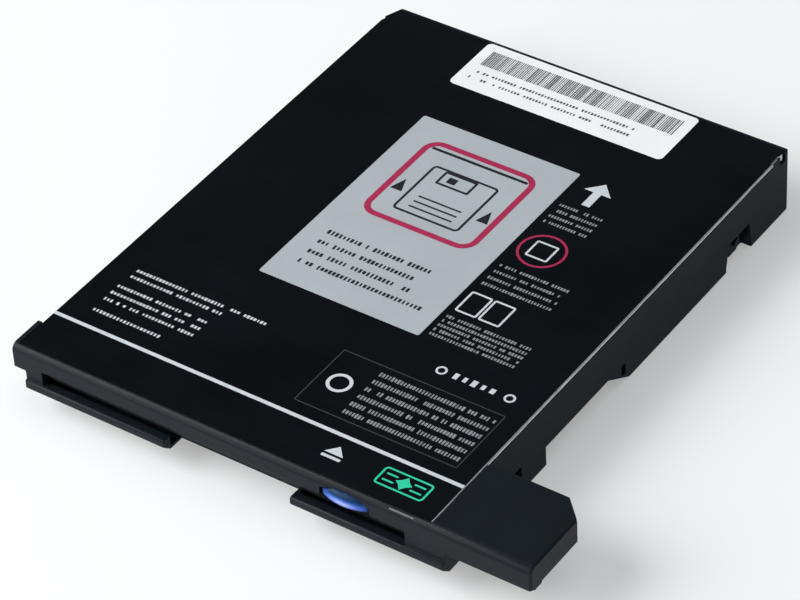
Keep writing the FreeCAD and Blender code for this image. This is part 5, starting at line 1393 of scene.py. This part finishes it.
class DRIVE_OT_stage(bpy.types.Operator):
    """Set up the pale floor, the soft lamps, the sky and the camera"""
    bl_idname = "drive.stage"
    bl_label = "Studio"

    def execute(self, context):
        stage = context.scene.drive_stage
        self.floor(stage)
        for name, power, size, place in LAMPS:
            self.lamp(name, getattr(stage, power), size, place)
        self.sky(context.scene)
        self.camera(context.scene, stage)
        context.scene.view_settings.view_transform = "Standard"
        return {"FINISHED"}

    def floor(self, stage):
        """A wide plain floor just under the drive, seen from above only.

        It is open where the drive's flat underside hides it, so that light reaches the underside."""
        points = []
        rim = (-FLOOR_HALF, FLOOR_HALF, -FLOOR_HALF, FLOOR_HALF)
        for left, right, front, back in (rim, FLOOR_OPENING):
            points += [(left, front, FLOOR_LEVEL), (right, front, FLOOR_LEVEL)]
            points += [(right, back, FLOOR_LEVEL), (left, back, FLOOR_LEVEL)]
        sides = [(here, (here + 1) % 4, (here + 1) % 4 + 4, here + 4) for here in range(4)]
        mesh = bpy.data.meshes.new("floor")
        mesh.from_pydata(points, [], sides)
        made = Finish("floor_pale", specular=0.2)
        cloud = made.noise(0.4, detail=2.0)
        made.tint(cloud, stage.floor, 0.01).gloss(cloud, 0.7, 0.8)
        path = made.node("ShaderNodeLightPath").outputs
        seen = made.maths("MAXIMUM", path["Is Camera Ray"], path["Is Glossy Ray"])
        seen = made.maths("MAXIMUM", seen, path["Is Transmission Ray"])
        away = made.node("ShaderNodeVectorMath", {0: made.place}, operation="LENGTH").outputs["Value"]
        growing = {
            "Value": away, "From Min": FLOOR_NEAR, "From Max": FLOOR_FAR, "To Min": stage.lift,
            "To Max": stage.far_lift,
        }
        lift = made.maths("MULTIPLY", seen, made.node("ShaderNodeMapRange", growing).outputs[0])
        glow = made.node("ShaderNodeEmission", {"Strength": lift}).outputs[0]
        both = made.node("ShaderNodeAddShader", {0: made.shader.outputs[0], 1: glow}).outputs[0]
        below = made.node("ShaderNodeNewGeometry").outputs["Backfacing"]
        clear = made.node("ShaderNodeBsdfTransparent").outputs[0]
        shown = made.node("ShaderNodeMixShader", {0: below, 1: both, 2: clear}).outputs[0]
        made.tree.links.new(shown, made.tree.nodes["Material Output"].inputs[0])
        floor = new_piece("floor", mesh)
        mesh.materials.append(made.material)

    def lamp(self, name, power, size, place):
        """A square soft lamp that faces the drive."""
        data = bpy.data.lights.new(name, "AREA")
        data.energy = power
        data.size = size
        made = bpy.data.objects.new(name, data)
        made.location = place
        made.rotation_mode = "QUATERNION"
        made.rotation_quaternion = (-Vector(place)).to_track_quat("-Z", "Y")
        bpy.context.scene.collection.objects.link(made)

    def sky(self, scene):
        """A sky that lights the drive, bright at the horizon and dim overhead. It is itself seen white."""
        world = bpy.data.worlds.new("sky")
        scene.world = world
        world.use_nodes = True
        made = Nodes(world.node_tree)
        away = made.node("ShaderNodeTexCoord").outputs["Generated"]
        height = made.node("ShaderNodeSeparateXYZ", {0: away}).outputs["Z"]
        ramp = made.node("ShaderNodeValToRGB", {0: height})
        for stop, (at, rgba) in zip(ramp.color_ramp.elements, SKY_STOPS):
            stop.position = at
            stop.color = rgba
        by_camera = made.node("ShaderNodeLightPath").outputs["Is Camera Ray"]
        inputs = {0: by_camera, 6: ramp.outputs[0], 7: SKY_SEEN}
        shown = made.node("ShaderNodeMix", inputs, data_type="RGBA").outputs[2]
        background = made.tree.nodes["Background"].inputs
        made.tree.links.new(shown, background["Color"])
        background["Strength"].default_value = 1.0

    def camera(self, scene, stage):
        """A camera at the photographed angle, in its own turned axes."""
        data = bpy.data.cameras.new("camera")
        data.lens = stage.focal
        data.sensor_width = 36.0
        data.sensor_fit = "HORIZONTAL"
        data.clip_start, data.clip_end = 0.05, 50.0
        camera = bpy.data.objects.new("camera", data)
        scene.collection.objects.link(camera)
        scene.camera = camera
        cos_yaw, sin_yaw = math.cos(stage.yaw), math.sin(stage.yaw)
        cos_pitch, sin_pitch = math.cos(stage.pitch), math.sin(stage.pitch)
        back = Vector((sin_yaw * cos_pitch, -cos_yaw * cos_pitch, sin_pitch))
        right = Vector((cos_yaw, sin_yaw, 0))
        up = back.cross(right)
        cos_roll, sin_roll = math.cos(stage.roll), math.sin(stage.roll)
        across = cos_roll * right + sin_roll * up
        upward = cos_roll * up - sin_roll * right
        turn = Matrix((across, upward, back)).transposed().to_4x4()
        camera.matrix_world = Matrix.Translation(stage.place) @ turn


class DRIVE_PT_panel(bpy.types.Panel):
    """Lists what dresses the drive"""
    bl_label = "Floppy drive"
    bl_idname = "DRIVE_PT_panel"
    bl_space_type = "VIEW_3D"
    bl_region_type = "UI"
    bl_category = "Drive"

    def draw(self, context):
        for name, group in SETTINGS.items():
            box = self.layout.box()
            for key in group.__annotations__:
                box.prop(getattr(context.scene, name), key)
        for operator in OPERATORS:
            self.layout.operator(operator.bl_idname)


OPERATORS = (
    DRIVE_OT_shells, DRIVE_OT_lid, DRIVE_OT_button, DRIVE_OT_flap, DRIVE_OT_plug, DRIVE_OT_print,
    DRIVE_OT_labels, DRIVE_OT_springs, DRIVE_OT_screws, DRIVE_OT_works, DRIVE_OT_stage,
)


def register():
    """Registers the settings, the operators and the panel."""
    for name, group in SETTINGS.items():
        bpy.utils.register_class(group)
        setattr(bpy.types.Scene, name, bpy.props.PointerProperty(type=group))
    for each in (*OPERATORS, DRIVE_PT_panel):
        bpy.utils.register_class(each)


def unregister():
    """Takes them away again."""
    for each in (DRIVE_PT_panel, *reversed(OPERATORS)):
        bpy.utils.unregister_class(each)
    for name, group in SETTINGS.items():
        delattr(bpy.types.Scene, name)
        bpy.utils.unregister_class(group)


def main():
    register()
    for operator in OPERATORS:
        group, name = operator.bl_idname.split(".")
        getattr(getattr(bpy.ops, group), name)()


if __name__ == "__main__":
    main()
